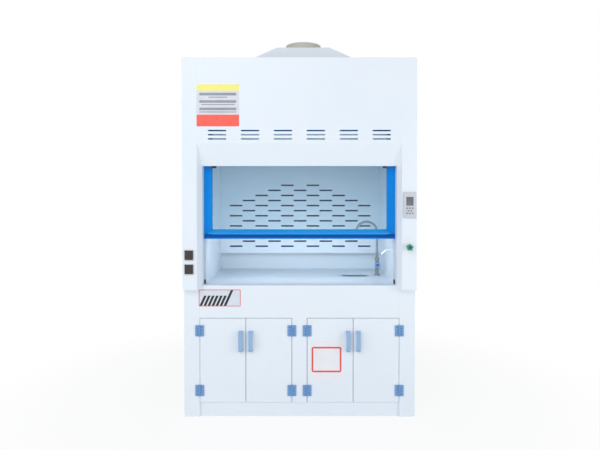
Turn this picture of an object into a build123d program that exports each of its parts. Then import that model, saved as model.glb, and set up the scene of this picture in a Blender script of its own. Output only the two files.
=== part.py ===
from build123d import *
import os

# A walk-up polypropylene fume hood on a base cupboard, in millimetres.
# While a piece is modelled, X runs to the viewer's right, Y runs back from the front
# face of the posts, and Z runs up from the floor. save() then moves every piece so that
# the origin is the middle of the footprint.

# Outer body
BODY_WIDTH = 1500.0
BODY_DEPTH = 850.0
ROOF_HEIGHT = 2320.0
BASE_HEIGHT = 835.0
BASE_SETBACK = 50.0
SHEET = 10.0
LINER_SHEET = 8.0

# Front surround: two posts and a fascia with one mitred reveal
POST_FACE = 94.0
REVEAL_DEPTH = 44.0
REVEAL_SIDE = 27.0
REVEAL_TOP = 142.0
HEADER_HEIGHT = 1632.0

# Louvres in the fascia
LOUVRE_LENGTH = 118.0
LOUVRE_HEIGHT = 9.5
LOUVRE_MARGIN = 94.0
LOUVRE_PITCH = 210.0
LOUVRE_ROWS = 3
LOUVRE_ROW_PITCH = 26.5
LOUVRE_LOW_HEIGHT = 1802.0

# Worktop and sill
WORKTOP_THICKNESS = 23.0
SILL_DEPTH = 14.0
SILL_ROUND = 6.0

# Chamber lining
CHAMBER_STEP = 9.0
CEILING_HEIGHT = 2190.0
BAFFLE_HEIGHT_LOW = 990.0
BAFFLE_HEIGHT_HIGH = 1900.0
PLENUM_DEPTH = 65.0
UPPER_BAFFLE_FRONT = 260.0
UPPER_BAFFLE_SLOT = 25.0

# Slots in the baffle
BAFFLE_SLOT_LENGTH = 100.0
BAFFLE_SLOT_HEIGHT = 12.0
BAFFLE_SLOT_PITCH = 200.0
BAFFLE_ROW_PITCH = 39.6
BAFFLE_TOP_ROW_HEIGHT = 1519.0
BAFFLE_FOOT_MARGIN = 40.0
BAFFLE_SIDE_MARGIN = 15.0
BAFFLE_TOP_COUNT = 2

# Exhaust
EXHAUST_X = 25.0
EXHAUST_DEPTH = 485.0
EXHAUST_OPENING_X = 880.0
EXHAUST_OPENING_Y = 460.0
TRANSITION_BASE_X = 920.0
TRANSITION_BASE_Y = 500.0
TRANSITION_TOP = 360.0
TRANSITION_RISE = 144.0
TRANSITION_SHEET = 6.0
TRANSITION_FLANGE = 15.0
COLLAR_RADIUS = 125.0
COLLAR_WALL = 5.0
COLLAR_RISE = 53.0

# Lamp over the chamber
LAMP_INSET = 120.0
LAMP_WINDOW = 54.0
LAMP_HOUSING = 78.0
LAMP_RISE = 38.0
LAMP_ROUND = 9.5
LAMP_FRONT = 164.0

# Sash
SASH_SETBACK = 106.0
SASH_THICKNESS = 24.0
SASH_HEIGHT = 750.0
SASH_OPENING = 297.0
SASH_ENGAGEMENT = 19.0
SASH_STILE = 73.0
SASH_TOP_RAIL = 52.0
SASH_BOTTOM_RAIL = 62.0
SASH_BEAD = 4.0
SASH_CLEARANCE = 0.5
GLASS_THICKNESS = 6.0
GLASS_REBATE = 8.0
GLASS_CLEARANCE = 0.1
GUIDE_WALL = 6.0
GUIDE_TOP_HEIGHT = 2230.0
HANDLE_REACH = 35.0
HANDLE_LIP_INSET = 55.0
HANDLE_ROOT_INSET = 74.0
HANDLE_NOSE_DROP = 21.0
HANDLE_NOSE_HEIGHT = 7.0
HANDLE_ROOT_HEIGHT = 36.0
HANDLE_HOOK_DEPTH = 11.5
HANDLE_HOOK_RISE = 3.5
HANDLE_ROUND = 2.3
STOP_BLOCK_HEIGHT = 25.0
STOP_BLOCK_WIDTH = 26.0
STOP_BLOCK_STEP = 2.0
BUMPER_WIDTH = 23.0
BUMPER_HEIGHT = 12.0
BUMPER_LENGTH = 22.0
BUMPER_ROUND = 4.4
BUMPER_INSET = 71.0

# Counterbalance: cross shaft, two pulleys, cables and weights
PULLEY_RADIUS = 30.0
PULLEY_RIM = 3.0
PULLEY_WIDTH = 12.0
PULLEY_HEIGHT = 2276.0
SHAFT_RADIUS = 8.0
SHAFT_CLEARANCE = 0.05
CABLE_RADIUS = 1.5
CABLE_GAP = 0.3
CABLE_OFFSET = 7.0
LUG_HEIGHT = 30.0
LUG_DROP = 85.0
BRACKET_THICKNESS = 6.0
BRACKET_NEAR = 14.0
BRACKET_FAR = 26.0
BRACKET_DROP = 20.0
BRACKET_STEP = 8.0
BRACKET_FOOT = 20.0
WEIGHT_X = 46.0
WEIGHT_Y = 70.0
WEIGHT_HEIGHT = 368.0
WEIGHT_TOP_HEIGHT = 1930.0
WEIGHT_CHAMFER = 4.6

# Controller on the right post
CONTROLLER_INSET = 47.0
CONTROLLER_HEIGHT_MID = 1380.0
CONTROLLER_WIDTH = 82.0
CONTROLLER_TALL = 165.0
CONTROLLER_PROUD = 14.0
CONTROLLER_ROUND = 5.0
CONTROLLER_CHAMFER = 2.5
SCREEN_WIDTH = 46.0
SCREEN_TALL = 56.0
SCREEN_RISE = 24.0
SCREEN_DEPTH = 3.0
SCREEN_CLEARANCE = 0.2
KEY_RADIUS = 4.5
KEY_CLEARANCE = 0.3
KEY_PROUD = 2.0
KEY_LENGTH = 6.0
KEY_TRAVEL = 1.0
KEY_PITCH = 18.0
KEY_ROW_PITCH = 16.5
KEY_TOP_DROP = 19.5
KEY_ROUND = 1.0
KEY_COLUMNS = (3, 2, 3)

# Sockets on the left post
SOCKET_INSET = 44.0
SOCKET_WIDTH = 61.0
SOCKET_TALL = 69.0
SOCKET_PROUD = 6.0
SOCKET_ROUND = 3.0
SOCKET_BOX = 50.0
SOCKET_BOX_DEPTH = 36.0
SOCKET_WELL_RADIUS = 20.0
SOCKET_WELL_DEPTH = 9.0
SOCKET_HEIGHTS = (1058.0, 967.5)
LID_WIDTH = 53.0
LID_TALL = 56.0
LID_THICKNESS = 5.0
LID_CORNER = 5.0
LID_ROUND = 1.2
LID_GAP = 0.3
LID_BARREL = 3.5
LID_PIN = 1.5
LID_EAR = 6.0

# Remote valve on the right post and its nozzle inside
VALVE_INSET = 50.0
VALVE_HEIGHT = 1112.0
KNOB_REACH = 48.0
KNOB_RADIUS = 17.0
KNOB_LOBES = 5
LOBE_RADIUS = 7.5
LOBE_REACH = 14.5
KNOB_THICKNESS = 20.0
KNOB_CHAMFER = 2.5
KNOB_HUB_RADIUS = 11.0
KNOB_CAP_RADIUS = 9.0
KNOB_CAP_THICKNESS = 3.0
VALVE_FLANGE_RADIUS = 15.0
VALVE_FLANGE_THICKNESS = 5.0
VALVE_SPINDLE_RADIUS = 5.0
VALVE_SPINDLE_GRIP = 13.0
VALVE_INLET_RADIUS = 5.0
VALVE_INLET_LENGTH = 17.0
VALVE_NECK_RADIUS = 8.0
VALVE_BODY_RADIUS = 16.0
VALVE_BODY_LENGTH = 34.0
OUTLET_DEPTH = 199.0
OUTLET_HEIGHT = 1073.0
OUTLET_RADIUS = 5.5
OUTLET_FLANGE_RADIUS = 15.0
OUTLET_FLANGE_THICKNESS = 6.0
OUTLET_REACH = 38.0
OUTLET_TIP = 42.0
OUTLET_BEND = 9.0
OUTLET_SHANK = 12.0
OUTLET_NUT_RADIUS = 12.0
OUTLET_NUT_THICKNESS = 6.0
BARB_COUNT = 3
BARB_HEIGHT = 1.5
BARB_PITCH = 8.0
BARB_LENGTH = 6.0

# Faucet and cup sink
FAUCET_INSET = 58.0
FAUCET_DEPTH = 491.0
FAUCET_FLANGE_RADIUS = 24.0
FAUCET_FLANGE_THICKNESS = 6.0
FAUCET_FLANGE_ROUND = 3.0
FAUCET_BODY_RADIUS = 13.0
FAUCET_BODY_HEIGHT = 106.0
FAUCET_KNOB_HEIGHT = 78.0
FAUCET_KNOB_RADIUS = 20.5
FAUCET_KNOB_THICKNESS = 14.0
FAUCET_KNOB_CHAMFER = 2.3
FLUTE_COUNT = 8
FLUTE_RADIUS = 4.0
FLUTE_OFFSET = 22.5
FAUCET_SPINDLE_RADIUS = 4.0
FAUCET_SPINDLE_GRIP = 7.0
FAUCET_SIDE_BOSS_RADIUS = 10.0
FAUCET_SIDE_BOSS_REACH = 22.0
FAUCET_SHANK_RADIUS = 9.0
FAUCET_SHANK_LENGTH = 50.0
FAUCET_NUT_RADIUS = 15.3
FAUCET_NUT_THICKNESS = 6.0
FAUCET_SEAT_DEPTH = 12.0
SPOUT_RADIUS = 9.0
SPOUT_BORE = 5.0
SPOUT_NUT_RADIUS = 15.5
SPOUT_NUT_HEIGHT = 26.0
SPOUT_NUT_ROUND = 6.0
SPOUT_TOP_HEIGHT = 399.0
SPOUT_SPREAD = 152.0
SPOUT_TIP_LENGTH = 42.0
TURN_CLEARANCE = 0.3
RUN_CLEARANCE = 0.05
SINK_INSET = 227.0
SINK_DEPTH = 457.0
SINK_LENGTH = 200.0
SINK_WIDTH = 90.0
SINK_FLOOR_LENGTH = 130.0
SINK_FLOOR_WIDTH = 62.0
SINK_DROP = 110.0
SINK_WALL = 4.0
SINK_RIM = 11.0
SINK_RIM_THICKNESS = 3.0
SINK_RIM_CHAMFER = 1.5
SPIGOT_RADIUS = 20.0
SPIGOT_WALL = 3.0
SPIGOT_LENGTH = 40.0
TRAP_LEG = 130.0
TRAP_SPREAD = 96.0
TRAP_RISE = 60.0
TRAP_BEND = 46.0
TRAP_NUT_RADIUS = 28.0
TRAP_NUT_LENGTH = 30.0
PIPE_CLEARANCE = 0.3

# Base cupboard
CORNER_STILE = 100.0
MULLION_WIDTH = 96.0
KICK_HEIGHT = 92.0
KICK_RECESS = 10.0
DOOR_TOP_HEIGHT = 642.0
DOOR_GAP = 3.0
DOOR_THICKNESS = 18.0
DOOR_SKIN = 10.0
DOOR_BORDER = 30.0
DOOR_EDGE = 1.5

# Hinges and handles of the doors
HINGE_WIDTH = 57.0
HINGE_TALL = 72.0
HINGE_LEAF = 5.0
HINGE_ROUND = 4.0
HINGE_KNUCKLE = 5.0
HINGE_STANDOFF = 5.5
HINGE_KNUCKLES = 5
HINGE_AXIAL_GAP = 0.4
HINGE_PIN = 2.5
HINGE_PIN_HEAD = 3.8
HINGE_PIN_HEAD_THICKNESS = 1.5
HINGE_FROM_FOOT = 77.5
HINGE_FROM_TOP = 80.0
PULL_INSET = 31.0
PULL_FROM_TOP = 147.0
PULL_TALL = 130.0
PULL_WIDTH = 26.0
PULL_REACH = 35.0
PULL_BAR = 10.0
PULL_FOOT = 14.0
PULL_SLOPE = 11.7
PULL_WAIST = 3.3
PULL_ROUND = 2.0

# Places that follow from the sizes above
FRONT_Y = (KNOB_REACH - BODY_DEPTH) / 2
HALF_WIDTH = BODY_WIDTH / 2
INNER_HALF = HALF_WIDTH - SHEET
BACK_FACE = BODY_DEPTH - LINER_SHEET
FACE_EDGE = HALF_WIDTH - POST_FACE
OPENING_HALF = FACE_EDGE - REVEAL_SIDE
CHAMBER_HALF = OPENING_HALF - CHAMBER_STEP
WORKTOP_HEIGHT = BASE_HEIGHT + WORKTOP_THICKNESS
ROOF_UNDERSIDE = ROOF_HEIGHT - SHEET
SASH_FRONT = SASH_SETBACK
SASH_BACK = SASH_FRONT + SASH_THICKNESS
SASH_MIDDLE = SASH_FRONT + SASH_THICKNESS / 2
SASH_HALF = OPENING_HALF + SASH_ENGAGEMENT
SASH_BOTTOM = WORKTOP_HEIGHT + SASH_OPENING
SASH_TOP = SASH_BOTTOM + SASH_HEIGHT
GUIDE_FRONT = SASH_FRONT - SASH_CLEARANCE - GUIDE_WALL
GUIDE_BACK = SASH_BACK + SASH_CLEARANCE + GUIDE_WALL
CABLE_X = SASH_HALF + CABLE_OFFSET
GUIDE_WEB = SASH_HALF + 2 * CABLE_OFFSET
SHAFT_DEPTH = SASH_MIDDLE + PULLEY_RADIUS
BAFFLE_FRONT = BACK_FACE - PLENUM_DEPTH - LINER_SHEET
BASE_FRONT = BASE_SETBACK
KICK_FRONT = BASE_FRONT + KICK_RECESS
STILE_EDGE = HALF_WIDTH - CORNER_STILE
MULLION_HALF = MULLION_WIDTH / 2
DOOR_LOW = KICK_HEIGHT + DOOR_GAP
TRANSITION_TOP_HEIGHT = ROOF_HEIGHT + TRANSITION_RISE
CONTROLLER_X = HALF_WIDTH - CONTROLLER_INSET
SOCKET_X = HALF_WIDTH - SOCKET_INSET
VALVE_X = HALF_WIDTH - VALVE_INSET
FAUCET_X = CHAMBER_HALF - FAUCET_INSET
SINK_X = CHAMBER_HALF - SINK_INSET
LAMP_HALF = CHAMBER_HALF - LAMP_INSET
BUMPER_X = OPENING_HALF - BUMPER_INSET
BRACKET_X = CHAMBER_HALF + LINER_SHEET + BRACKET_STEP
HINGE_HEIGHTS = (DOOR_LOW + HINGE_FROM_FOOT, DOOR_TOP_HEIGHT - HINGE_FROM_TOP)
PULL_HEIGHT_MID = DOOR_TOP_HEIGHT - PULL_FROM_TOP


def block(x, y, z):
    """A square-edged bar or sheet between three (low, high) pairs."""
    pairs = (x, y, z)
    middle = [(low + high) / 2 for low, high in pairs]
    size = [high - low for low, high in pairs]
    return Pos(*middle) * Box(*size)


def rod(radius, start, end):
    """A round bar from one point to another."""
    axis = Vector(*end) - Vector(*start)
    section = Plane(origin=start, z_dir=axis) * Circle(radius)
    return extrude(section, axis.length)


def both_sides(shape):
    """A piece on the right and its mirror image on the left."""
    return [shape, mirror(shape, about=Plane.YZ)]


def slot_cutter(length, height, x, y, z):
    """A round-ended slot along X, cut through the sheet between the y pair."""
    front = Plane(origin=(x, y[0], z), x_dir=(1, 0, 0), z_dir=(0, 1, 0))
    return extrude(front * SlotOverall(length, height), y[1] - y[0])


def spread(count, pitch):
    """Places of count things at one pitch, centred on zero."""
    return [(index - (count - 1) / 2) * pitch for index in range(count)]


def fold_strips(visible, thickness):
    """Outline of each flat of a folded sheet, mitred at its folds.

    visible runs along the face that shows, and the thickness lies on its left.
    """
    points = [Vector(*point) for point in visible]
    runs = [(end - start).normalized() for start, end in zip(points, points[1:])]
    normals = [Vector(-run.Y, run.X) for run in runs]
    corners = []
    for index, point in enumerate(points):
        before = normals[max(index - 1, 0)]
        after = normals[min(index, len(normals) - 1)]
        bisector = (before + after).normalized()
        corners.append((point, point + bisector * (thickness / bisector.dot(after))))
    return [(a, b, back_b, back_a) for (a, back_a), (b, back_b) in zip(corners, corners[1:])]


def prism(plane, outline, length):
    """A polygon on a plane, extruded along the plane's normal."""
    return extrude(plane * make_face(Polyline(*outline, close=True)), length)


def save(node, *shapes):
    """Write one node's solids, moved so that the footprint's middle is the origin."""
    solids = [solid for shape in shapes for solid in shape.solids()]
    export_step(Pos(0, FRONT_Y, 0) * Compound(solids), f"parts/{node}.step")


def surround():
    """The posts and the fascia, whose reveals meet in mitres at the opening's corners."""
    opening_corner = Vector(OPENING_HALF, REVEAL_DEPTH, HEADER_HEIGHT)
    side_normal = Vector(REVEAL_DEPTH, REVEAL_SIDE, 0).normalized()
    top_normal = Vector(0, REVEAL_TOP, REVEAL_DEPTH).normalized()
    reveal_mitre = Plane(origin=opening_corner, z_dir=top_normal - side_normal)
    return_mitre = Plane(origin=opening_corner, z_dir=(-1, 0, 1))
    face_joint = Plane(origin=(FACE_EDGE, 0, HEADER_HEIGHT + REVEAL_TOP), z_dir=(-1, 0, 0))

    post_line = [
        (OPENING_HALF, GUIDE_FRONT),
        (OPENING_HALF, REVEAL_DEPTH),
        (FACE_EDGE, 0),
        (HALF_WIDTH, 0),
    ]
    post_plane = Plane(origin=(0, 0, BASE_HEIGHT), x_dir=(1, 0, 0), z_dir=(0, 0, 1))
    post_rise = ROOF_HEIGHT - BASE_HEIGHT
    strips = fold_strips(post_line, SHEET)
    returned, reveal, face = [prism(post_plane, strip, post_rise) for strip in strips]
    returned = split(returned, bisect_by=return_mitre, keep=Keep.BOTTOM)
    reveal = split(reveal, bisect_by=reveal_mitre, keep=Keep.BOTTOM)
    foot = block(
        (OPENING_HALF + SHEET, INNER_HALF),
        (SHEET, GUIDE_FRONT),
        (BASE_HEIGHT, BASE_HEIGHT + SHEET),
    )
    behind_reveal = prism(
        post_plane,
        [(OPENING_HALF, 0), (FACE_EDGE, 0), (OPENING_HALF, REVEAL_DEPTH)],
        SHEET,
    )
    post = face + reveal + returned + (foot - behind_reveal)
    right_post = post - holes_in_right_post()
    left_post = mirror(post, about=Plane.YZ) - holes_in_left_post()

    fascia_line = [
        (0, ROOF_HEIGHT),
        (0, HEADER_HEIGHT + REVEAL_TOP),
        (REVEAL_DEPTH, HEADER_HEIGHT),
        (GUIDE_FRONT, HEADER_HEIGHT),
    ]
    strips = [prism(Plane.YZ, strip, HALF_WIDTH) for strip in fold_strips(fascia_line, SHEET)]
    cuts = (face_joint, reveal_mitre, return_mitre)
    half = [split(strip, bisect_by=cut, keep=Keep.TOP) for strip, cut in zip(strips, cuts)]
    right_half = half[0] + half[1] + half[2]
    fascia = right_half + mirror(right_half, about=Plane.YZ)
    heights = [LOUVRE_LOW_HEIGHT + row * LOUVRE_ROW_PITCH for row in range(LOUVRE_ROWS)]
    columns = int((BODY_WIDTH - 2 * LOUVRE_MARGIN) // LOUVRE_PITCH)
    louvres = [
        slot_cutter(LOUVRE_LENGTH, LOUVRE_HEIGHT, x, (-1, SHEET + 1), height)
        for x in spread(columns, LOUVRE_PITCH)
        for height in heights
    ]
    save("front_posts", right_post, left_post)
    save("front_fascia", fascia - louvres)


def holes_in_right_post():
    """The round hole that the remote valve's neck passes through."""
    neck = VALVE_NECK_RADIUS + RUN_CLEARANCE
    return rod(neck, (VALVE_X, -1, VALVE_HEIGHT), (VALVE_X, SHEET + 1, VALVE_HEIGHT))


def holes_in_left_post():
    """The square holes that the socket boxes sit in."""
    half = SOCKET_BOX / 2 + TURN_CLEARANCE
    return [
        block((-SOCKET_X - half, -SOCKET_X + half), (-1, SHEET + 1), (middle - half, middle + half))
        for middle in SOCKET_HEIGHTS
    ]


def outer_shell():
    """Side sheets, back sheets and the roof with its exhaust opening."""
    side = block((INNER_HALF, HALF_WIDTH), (SHEET, BODY_DEPTH), (BASE_HEIGHT, ROOF_HEIGHT))
    save("outer_side_panels", *both_sides(side))

    upper_back = block((-INNER_HALF, INNER_HALF), (BACK_FACE, BODY_DEPTH), (BASE_HEIGHT, ROOF_HEIGHT))
    lower_back = block((-INNER_HALF, INNER_HALF), (BACK_FACE, BODY_DEPTH), (0, BASE_HEIGHT))
    pipe = SPIGOT_RADIUS + PIPE_CLEARANCE
    drain_height = trap_outlet_height()
    drain_hole = rod(pipe, (SINK_X, BACK_FACE - 1, drain_height), (SINK_X, BODY_DEPTH + 1, drain_height))
    save("back_panels", upper_back, lower_back - drain_hole)

    roof = block((-INNER_HALF, INNER_HALF), (SHEET, BACK_FACE), (ROOF_UNDERSIDE, ROOF_HEIGHT))
    save("roof_panel", roof - exhaust_opening(ROOF_UNDERSIDE - 1, ROOF_HEIGHT + 1))


def exhaust_opening(low, high, grow=0.0):
    """The rectangular air way in the roof and ceiling, grown on every side."""
    half_x = EXHAUST_OPENING_X / 2 + grow
    half_y = EXHAUST_OPENING_Y / 2 + grow
    return block(
        (EXHAUST_X - half_x, EXHAUST_X + half_x),
        (EXHAUST_DEPTH - half_y, EXHAUST_DEPTH + half_y),
        (low, high),
    )


def chamber_lining():
    """Side walls, ceiling with the exhaust throat and lamp window, and the two baffles."""
    ceiling_top = CEILING_HEIGHT + LINER_SHEET
    wall_x = (CHAMBER_HALF, CHAMBER_HALF + LINER_SHEET)
    wall = block(wall_x, (GUIDE_BACK, BACK_FACE), (WORKTOP_HEIGHT, ceiling_top))
    outlet_hole = rod(
        OUTLET_RADIUS + RUN_CLEARANCE,
        (CHAMBER_HALF - 1, OUTLET_DEPTH, OUTLET_HEIGHT),
        (CHAMBER_HALF + LINER_SHEET + 1, OUTLET_DEPTH, OUTLET_HEIGHT),
    )
    save("liner_side_walls", wall - outlet_hole, mirror(wall, about=Plane.YZ))

    ceiling = block((-CHAMBER_HALF, CHAMBER_HALF), (GUIDE_BACK, BACK_FACE), (CEILING_HEIGHT, ceiling_top))
    throat = exhaust_opening(CEILING_HEIGHT, ROOF_UNDERSIDE, grow=LINER_SHEET)
    air_way = exhaust_opening(CEILING_HEIGHT - 1, ROOF_UNDERSIDE + 1)
    window = lamp_window(GLASS_CLEARANCE)
    save("liner_ceiling", ceiling + throat - air_way - window)

    baffle = block(
        (-CHAMBER_HALF, CHAMBER_HALF),
        (BAFFLE_FRONT, BAFFLE_FRONT + LINER_SHEET),
        (BAFFLE_HEIGHT_LOW, BAFFLE_HEIGHT_HIGH),
    )
    slots = []
    slotted = BAFFLE_TOP_ROW_HEIGHT - BAFFLE_HEIGHT_LOW - BAFFLE_FOOT_MARGIN
    rows = 1 + int(slotted // BAFFLE_ROW_PITCH)
    widest = int((2 * CHAMBER_HALF - 2 * BAFFLE_SIDE_MARGIN) // BAFFLE_SLOT_PITCH)
    for row in range(rows):
        full = widest - (row + BAFFLE_TOP_COUNT + widest) % 2
        height = BAFFLE_TOP_ROW_HEIGHT - row * BAFFLE_ROW_PITCH
        for x in spread(min(BAFFLE_TOP_COUNT + row, full), BAFFLE_SLOT_PITCH):
            through = (BAFFLE_FRONT - 1, BAFFLE_FRONT + LINER_SHEET + 1)
            slots.append(slot_cutter(BAFFLE_SLOT_LENGTH, BAFFLE_SLOT_HEIGHT, x, through, height))
    save("baffle", baffle - slots)

    upper_line = [
        (UPPER_BAFFLE_FRONT, CEILING_HEIGHT - UPPER_BAFFLE_SLOT),
        (BAFFLE_FRONT, BAFFLE_HEIGHT_HIGH),
    ]
    sloped = prism(Plane.YZ, fold_strips(upper_line, LINER_SHEET)[0], CHAMBER_HALF)
    save("upper_baffle", sloped + mirror(sloped, about=Plane.YZ))


def lamp_window(grow=0.0):
    """The long window that the lamp's lens fills in the ceiling."""
    half = LAMP_HALF + grow
    middle = LAMP_FRONT + LAMP_HOUSING / 2
    reach = LAMP_WINDOW / 2 + grow
    return block(
        (-half, half),
        (middle - reach, middle + reach),
        (CEILING_HEIGHT, CEILING_HEIGHT + LINER_SHEET),
    )


def lamp_fitting():
    """A sealed lamp on top of the ceiling, with its lens down in the window."""
    flange = (LAMP_HOUSING - LAMP_WINDOW) / 2
    half = LAMP_HALF + flange
    low = CEILING_HEIGHT + LINER_SHEET
    housing = block((-half, half), (LAMP_FRONT, LAMP_FRONT + LAMP_HOUSING), (low, low + LAMP_RISE))
    top_edges = housing.edges().group_by(Axis.Z)[-1]
    save("lamp_fitting", fillet(top_edges, LAMP_ROUND) + lamp_window())


def worktop():
    """The welded worktop, notched round the posts, and the rounded sill in front of it."""
    outline = [
        (-OPENING_HALF, BASE_FRONT + SILL_DEPTH),
        (OPENING_HALF, BASE_FRONT + SILL_DEPTH),
        (OPENING_HALF, GUIDE_FRONT),
        (INNER_HALF, GUIDE_FRONT),
        (INNER_HALF, BACK_FACE),
        (-INNER_HALF, BACK_FACE),
        (-INNER_HALF, GUIDE_FRONT),
        (-OPENING_HALF, GUIDE_FRONT),
    ]
    slab = prism(Plane.XY.offset(BASE_HEIGHT), outline, WORKTOP_THICKNESS)
    cup_half = SINK_WALL + PIPE_CLEARANCE
    cup_section = SlotOverall(SINK_LENGTH + 2 * cup_half, SINK_WIDTH + 2 * cup_half)
    cup_hole = extrude(Pos(SINK_X, SINK_DEPTH, BASE_HEIGHT - 1) * cup_section, WORKTOP_THICKNESS + 2)
    shank = FAUCET_SHANK_RADIUS + PIPE_CLEARANCE
    tap_hole = rod(
        shank,
        (FAUCET_X, FAUCET_DEPTH, BASE_HEIGHT - 1),
        (FAUCET_X, FAUCET_DEPTH, WORKTOP_HEIGHT + 1),
    )
    save("worktop", slab - [cup_hole, tap_hole])

    sill = block(
        (-OPENING_HALF, OPENING_HALF),
        (BASE_FRONT, BASE_FRONT + SILL_DEPTH),
        (BASE_HEIGHT, WORKTOP_HEIGHT),
    )
    nose = sill.edges().filter_by(Axis.X).group_by(Axis.Z)[-1].sort_by(Axis.Y)[0]
    save("front_sill", fillet(nose, SILL_ROUND))


def exhaust_transition():
    """The sloping hopper from the roof opening to the round collar, and the collar."""
    sheet = TRANSITION_SHEET
    centre = Pos(EXHAUST_X, EXHAUST_DEPTH, 0)
    low = ROOF_HEIGHT
    top = TRANSITION_TOP_HEIGHT

    def frustum(inset, lid):
        """A loft from the wide foot to the square top, inset from the outer faces."""
        foot = Pos(0, 0, low) * Rectangle(TRANSITION_BASE_X - 2 * inset, TRANSITION_BASE_Y - 2 * inset)
        head = Pos(0, 0, top - lid) * Rectangle(TRANSITION_TOP - 2 * inset, TRANSITION_TOP - 2 * inset)
        return centre * loft([foot.face(), head.face()])

    flange_x = TRANSITION_BASE_X + 2 * TRANSITION_FLANGE
    flange_y = TRANSITION_BASE_Y + 2 * TRANSITION_FLANGE
    flange = centre * Pos(0, 0, low + sheet / 2) * Box(flange_x, flange_y, sheet)
    wall_on_slope = 2 * sheet
    hopper = frustum(0, 0) + flange - frustum(wall_on_slope, sheet)
    bore = COLLAR_RADIUS - COLLAR_WALL
    hole = rod(bore, (EXHAUST_X, EXHAUST_DEPTH, top - 2 * sheet), (EXHAUST_X, EXHAUST_DEPTH, top + 1))
    save("duct_transition", hopper - hole)

    base = (EXHAUST_X, EXHAUST_DEPTH, top)
    rim = (EXHAUST_X, EXHAUST_DEPTH, top + COLLAR_RISE)
    save("duct_collar", rod(COLLAR_RADIUS, base, rim) - rod(bore, base, rim))


def sash():
    """The framed window, its glass, and the full-width lift handle."""
    glass_half = SASH_HALF - SASH_STILE
    glass_low = SASH_BOTTOM + SASH_BOTTOM_RAIL
    glass_high = SASH_TOP - SASH_TOP_RAIL
    frame = block((-SASH_HALF, SASH_HALF), (SASH_FRONT, SASH_BACK), (SASH_BOTTOM, SASH_TOP))
    sight = block((-glass_half, glass_half), (SASH_FRONT - 1, SASH_BACK + 1), (glass_low, glass_high))
    sight_middle = (0, SASH_FRONT, (glass_low + glass_high) / 2)
    bead_plane = Plane(origin=sight_middle, x_dir=(1, 0, 0), z_dir=(0, 1, 0))
    sight_x = 2 * glass_half
    sight_z = glass_high - glass_low
    mouth = bead_plane * Rectangle(sight_x + 2 * SASH_BEAD, sight_z + 2 * SASH_BEAD)
    waist = bead_plane.offset(SASH_BEAD) * Rectangle(sight_x, sight_z)
    bead = loft([mouth.face(), waist.face()])

    def pane(grow):
        """The glass, or its rebate in the frame when grown."""
        rebate = GLASS_REBATE + grow
        half = GLASS_THICKNESS / 2 + grow
        return block(
            (-glass_half - rebate, glass_half + rebate),
            (SASH_MIDDLE - half, SASH_MIDDLE + half),
            (glass_low - rebate, glass_high + rebate),
        )

    lug_high = SASH_TOP - LUG_DROP
    lug = block(
        (SASH_HALF, CABLE_X + CABLE_RADIUS),
        (SASH_MIDDLE - CABLE_OFFSET, SASH_MIDDLE + CABLE_OFFSET),
        (lug_high - LUG_HEIGHT, lug_high),
    )
    frame = frame - [sight, bead, pane(GLASS_CLEARANCE)]
    save("sash_frame", frame + both_sides(lug))
    save("sash_glass", pane(0))

    root_high = glass_low
    root_low = root_high - HANDLE_ROOT_HEIGHT
    nose = SASH_FRONT - HANDLE_REACH
    nose_high = root_high - HANDLE_NOSE_DROP
    nose_low = nose_high - HANDLE_NOSE_HEIGHT
    profile = [
        (SASH_FRONT, root_high),
        (nose, nose_high),
        (nose, nose_low),
        (nose + HANDLE_HOOK_DEPTH, nose_low + HANDLE_HOOK_RISE),
        (SASH_FRONT, root_low),
    ]
    half = SASH_HALF - HANDLE_LIP_INSET
    bar = prism(Plane.YZ, profile, half)
    flare = Vector(HANDLE_REACH, HANDLE_ROOT_INSET - HANDLE_LIP_INSET, 0)
    end_cut = Plane(origin=(half, nose, nose_high), z_dir=flare)
    bar = split(bar, bisect_by=end_cut, keep=Keep.BOTTOM)
    bar = bar + mirror(bar, about=Plane.YZ)
    lip_edges = bar.edges().filter_by(Axis.X).group_by(Axis.Y)[0]
    save("sash_handle", fillet(lip_edges, HANDLE_ROUND))


def sash_guides():
    """Channel guides welded from mitred strips, their rest blocks and the header bumpers."""
    channel_line = [
        (OPENING_HALF, GUIDE_FRONT),
        (GUIDE_WEB + GUIDE_WALL, GUIDE_FRONT),
        (GUIDE_WEB + GUIDE_WALL, GUIDE_BACK),
        (CHAMBER_HALF, GUIDE_BACK),
    ]
    rise = GUIDE_TOP_HEIGHT - WORKTOP_HEIGHT
    floor = Plane.XY.offset(WORKTOP_HEIGHT)
    flats = [prism(floor, strip, rise) for strip in fold_strips(channel_line, GUIDE_WALL)]
    save("sash_guides", *[strip for flat in flats for strip in both_sides(flat)])

    rest_low = CHAMBER_HALF + STOP_BLOCK_STEP
    rest = block(
        (rest_low, rest_low + STOP_BLOCK_WIDTH),
        (SASH_FRONT, SASH_BACK),
        (WORKTOP_HEIGHT, WORKTOP_HEIGHT + STOP_BLOCK_HEIGHT),
    )
    bumper = block(
        (BUMPER_X - BUMPER_WIDTH / 2, BUMPER_X + BUMPER_WIDTH / 2),
        (GUIDE_FRONT - BUMPER_LENGTH, GUIDE_FRONT),
        (HEADER_HEIGHT - BUMPER_HEIGHT, HEADER_HEIGHT),
    )
    bumper = fillet(bumper.edges().filter_by(Axis.Z), BUMPER_ROUND)
    save("sash_stops", *both_sides(rest), *both_sides(bumper))


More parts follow.
